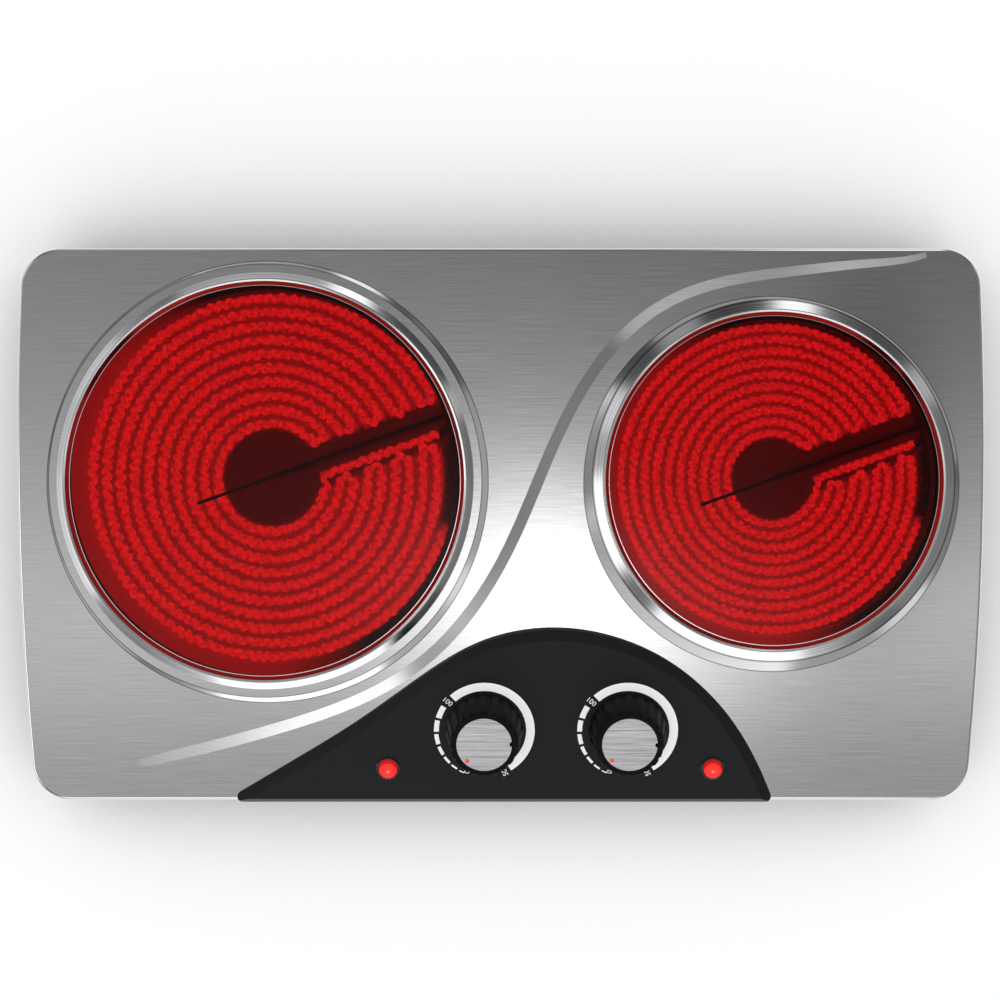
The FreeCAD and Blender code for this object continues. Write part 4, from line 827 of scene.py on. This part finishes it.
# Brightness by metres from front to back, at the card's left and right end
LEFT_TONES = (
    (-1.2, 0.95), (-0.9, 0.8), (-0.7, 0.68), (-0.58, 0.54), (-0.52, 0.52), (-0.46, 0.60), (-0.39, 0.76), (-0.32, 0.90),
    (-0.245, 0.96), (-0.17, 0.95), (-0.1, 0.88), (0.01, 0.71), (0.12, 0.6), (0.23, 0.515), (0.32, 0.455), (0.47, 0.37))
RIGHT_TONES = (
    (-1.2, 0.95), (-0.9, 0.8), (-0.7, 0.66), (-0.58, 0.47), (-0.52, 0.45), (-0.46, 0.46), (-0.39, 0.66), (-0.32, 0.84),
    (-0.245, 0.98), (-0.17, 1.0), (-0.1, 0.87), (0.01, 0.58), (0.12, 0.43), (0.23, 0.34), (0.32, 0.285), (0.47, 0.225))


def overhead_card():
    """The card that the plate mirrors: grey behind, a pale strip towards the front with a bright middle."""
    material, tree = new_material("overhead_card")
    point = add(tree, "ShaderNodeTexCoord", out="Object")
    across = add(tree, "ShaderNodeSeparateXYZ", {0: point}, out="X")
    rightward = add(tree, "ShaderNodeMapRange", {"Value": across, "From Min": -CARD_ENDS, "From Max": CARD_ENDS})
    depth = add(tree, "ShaderNodeSeparateXYZ", {0: point}, out="Y")
    share = add(tree, "ShaderNodeMapRange", {"Value": depth, "From Min": -OVERHEAD_HALF[1],
                                             "From Max": OVERHEAD_HALF[1]})
    ends = [add(tree, "ShaderNodeValToRGB", {"Fac": share},
                stops=[(0.5 + y / (2 * OVERHEAD_HALF[1]), grey(level)) for y, level in tones])
            for tones in (LEFT_TONES, RIGHT_TONES)]
    tone = add(tree, "ShaderNodeMix", {"Factor": rightward, 6: ends[0], 7: ends[1]}, out=2, data_type="RGBA")
    spot = add(tree, "ShaderNodeVectorMath", {0: point, 1: SPOT_PLACE + (OVERHEAD_HEIGHT,)}, operation="SUBTRACT")
    spot = add(tree, "ShaderNodeMapping", {"Vector": spot, "Rotation": (0, 0, SPOT_TURN)})
    spot = add(tree, "ShaderNodeMapping", {"Vector": spot, "Scale": (1 / SPOT_REACH[0], 1 / SPOT_REACH[1], 1)})
    shine = add(tree, "ShaderNodeTexGradient", {"Vector": spot}, out="Fac", gradient_type="QUADRATIC_SPHERE")
    bright = add(tree, "ShaderNodeMath", {0: shine, 1: SPOT_GAIN, 2: 1.0}, operation="MULTIPLY_ADD")
    shade = add(tree, "ShaderNodeVectorMath", {0: point, 1: SHADE_PLACE + (OVERHEAD_HEIGHT,)}, operation="SUBTRACT")
    shade = add(tree, "ShaderNodeMapping", {"Vector": shade, "Scale": (1 / SHADE_REACH[0], 1 / SHADE_REACH[1], 1)})
    shade = add(tree, "ShaderNodeTexGradient", {"Vector": shade}, out="Fac", gradient_type="SPHERICAL")
    shade = add(tree, "ShaderNodeMapRange", {"Value": shade, "From Max": SHADE_EDGE, "To Min": 1.0,
                                             "To Max": SHADE_LEVEL})
    bright = add(tree, "ShaderNodeMath", {0: bright, 1: shade}, operation="MULTIPLY")
    bright = add(tree, "ShaderNodeMath", {0: bright, 1: first_mirror(tree)}, operation="MULTIPLY")
    light = add(tree, "ShaderNodeEmission", {"Color": tone, "Strength": bright})
    add(tree, "ShaderNodeOutputMaterial", {"Surface": light})
    bm = bmesh.new()
    bmesh.ops.create_grid(bm, x_segments=1, y_segments=1, size=1.0)
    bmesh.ops.scale(bm, vec=OVERHEAD_HALF + (1,), verts=bm.verts[:])
    bmesh.ops.translate(bm, vec=(0, 0, OVERHEAD_HEIGHT), verts=bm.verts[:])
    mirrored_only(stage_object("overhead_card", bm, material))


def studio():
    scene = bpy.context.scene
    world = bpy.data.worlds.new("white_surroundings")
    world.use_nodes = True
    world.node_tree.nodes.clear()
    tree = world.node_tree
    way = add(tree, "ShaderNodeTexCoord", out="Generated")
    back = add(tree, "ShaderNodeSeparateXYZ", {0: way}, out="Y")
    front = add(tree, "ShaderNodeMapRange", {"Value": back, "From Min": -1.0, "To Min": 1.0 + FRONT_LIGHT,
                                             "To Max": 1.0 - FRONT_LIGHT})
    up = add(tree, "ShaderNodeSeparateXYZ", {0: way}, out="Z")
    height = add(tree, "ShaderNodeMapRange", {"Value": up, "To Min": SKY_FOOT, "To Max": SKY_HEAD})
    level = add(tree, "ShaderNodeMath", {0: front, 1: height}, operation="MULTIPLY")
    sky = add(tree, "ShaderNodeBackground", {"Color": grey(1.0), "Strength": level})
    add(tree, "ShaderNodeOutputWorld", {"Surface": sky})
    world.cycles.sampling_method = "NONE"   # so that no light comes through the cards
    scene.world = world
    scene.view_settings.view_transform = "Standard"
    floor()
    overhead_card()
    surround()


def camera():
    data = bpy.data.cameras.new("camera")
    data.lens = CAMERA_LENS
    data.sensor_width = CAMERA_SENSOR
    eye = bpy.data.objects.new("camera", data)
    eye.location = CAMERA_PLACE
    bpy.context.scene.collection.objects.link(eye)
    bpy.context.scene.camera = eye


studio()
camera()
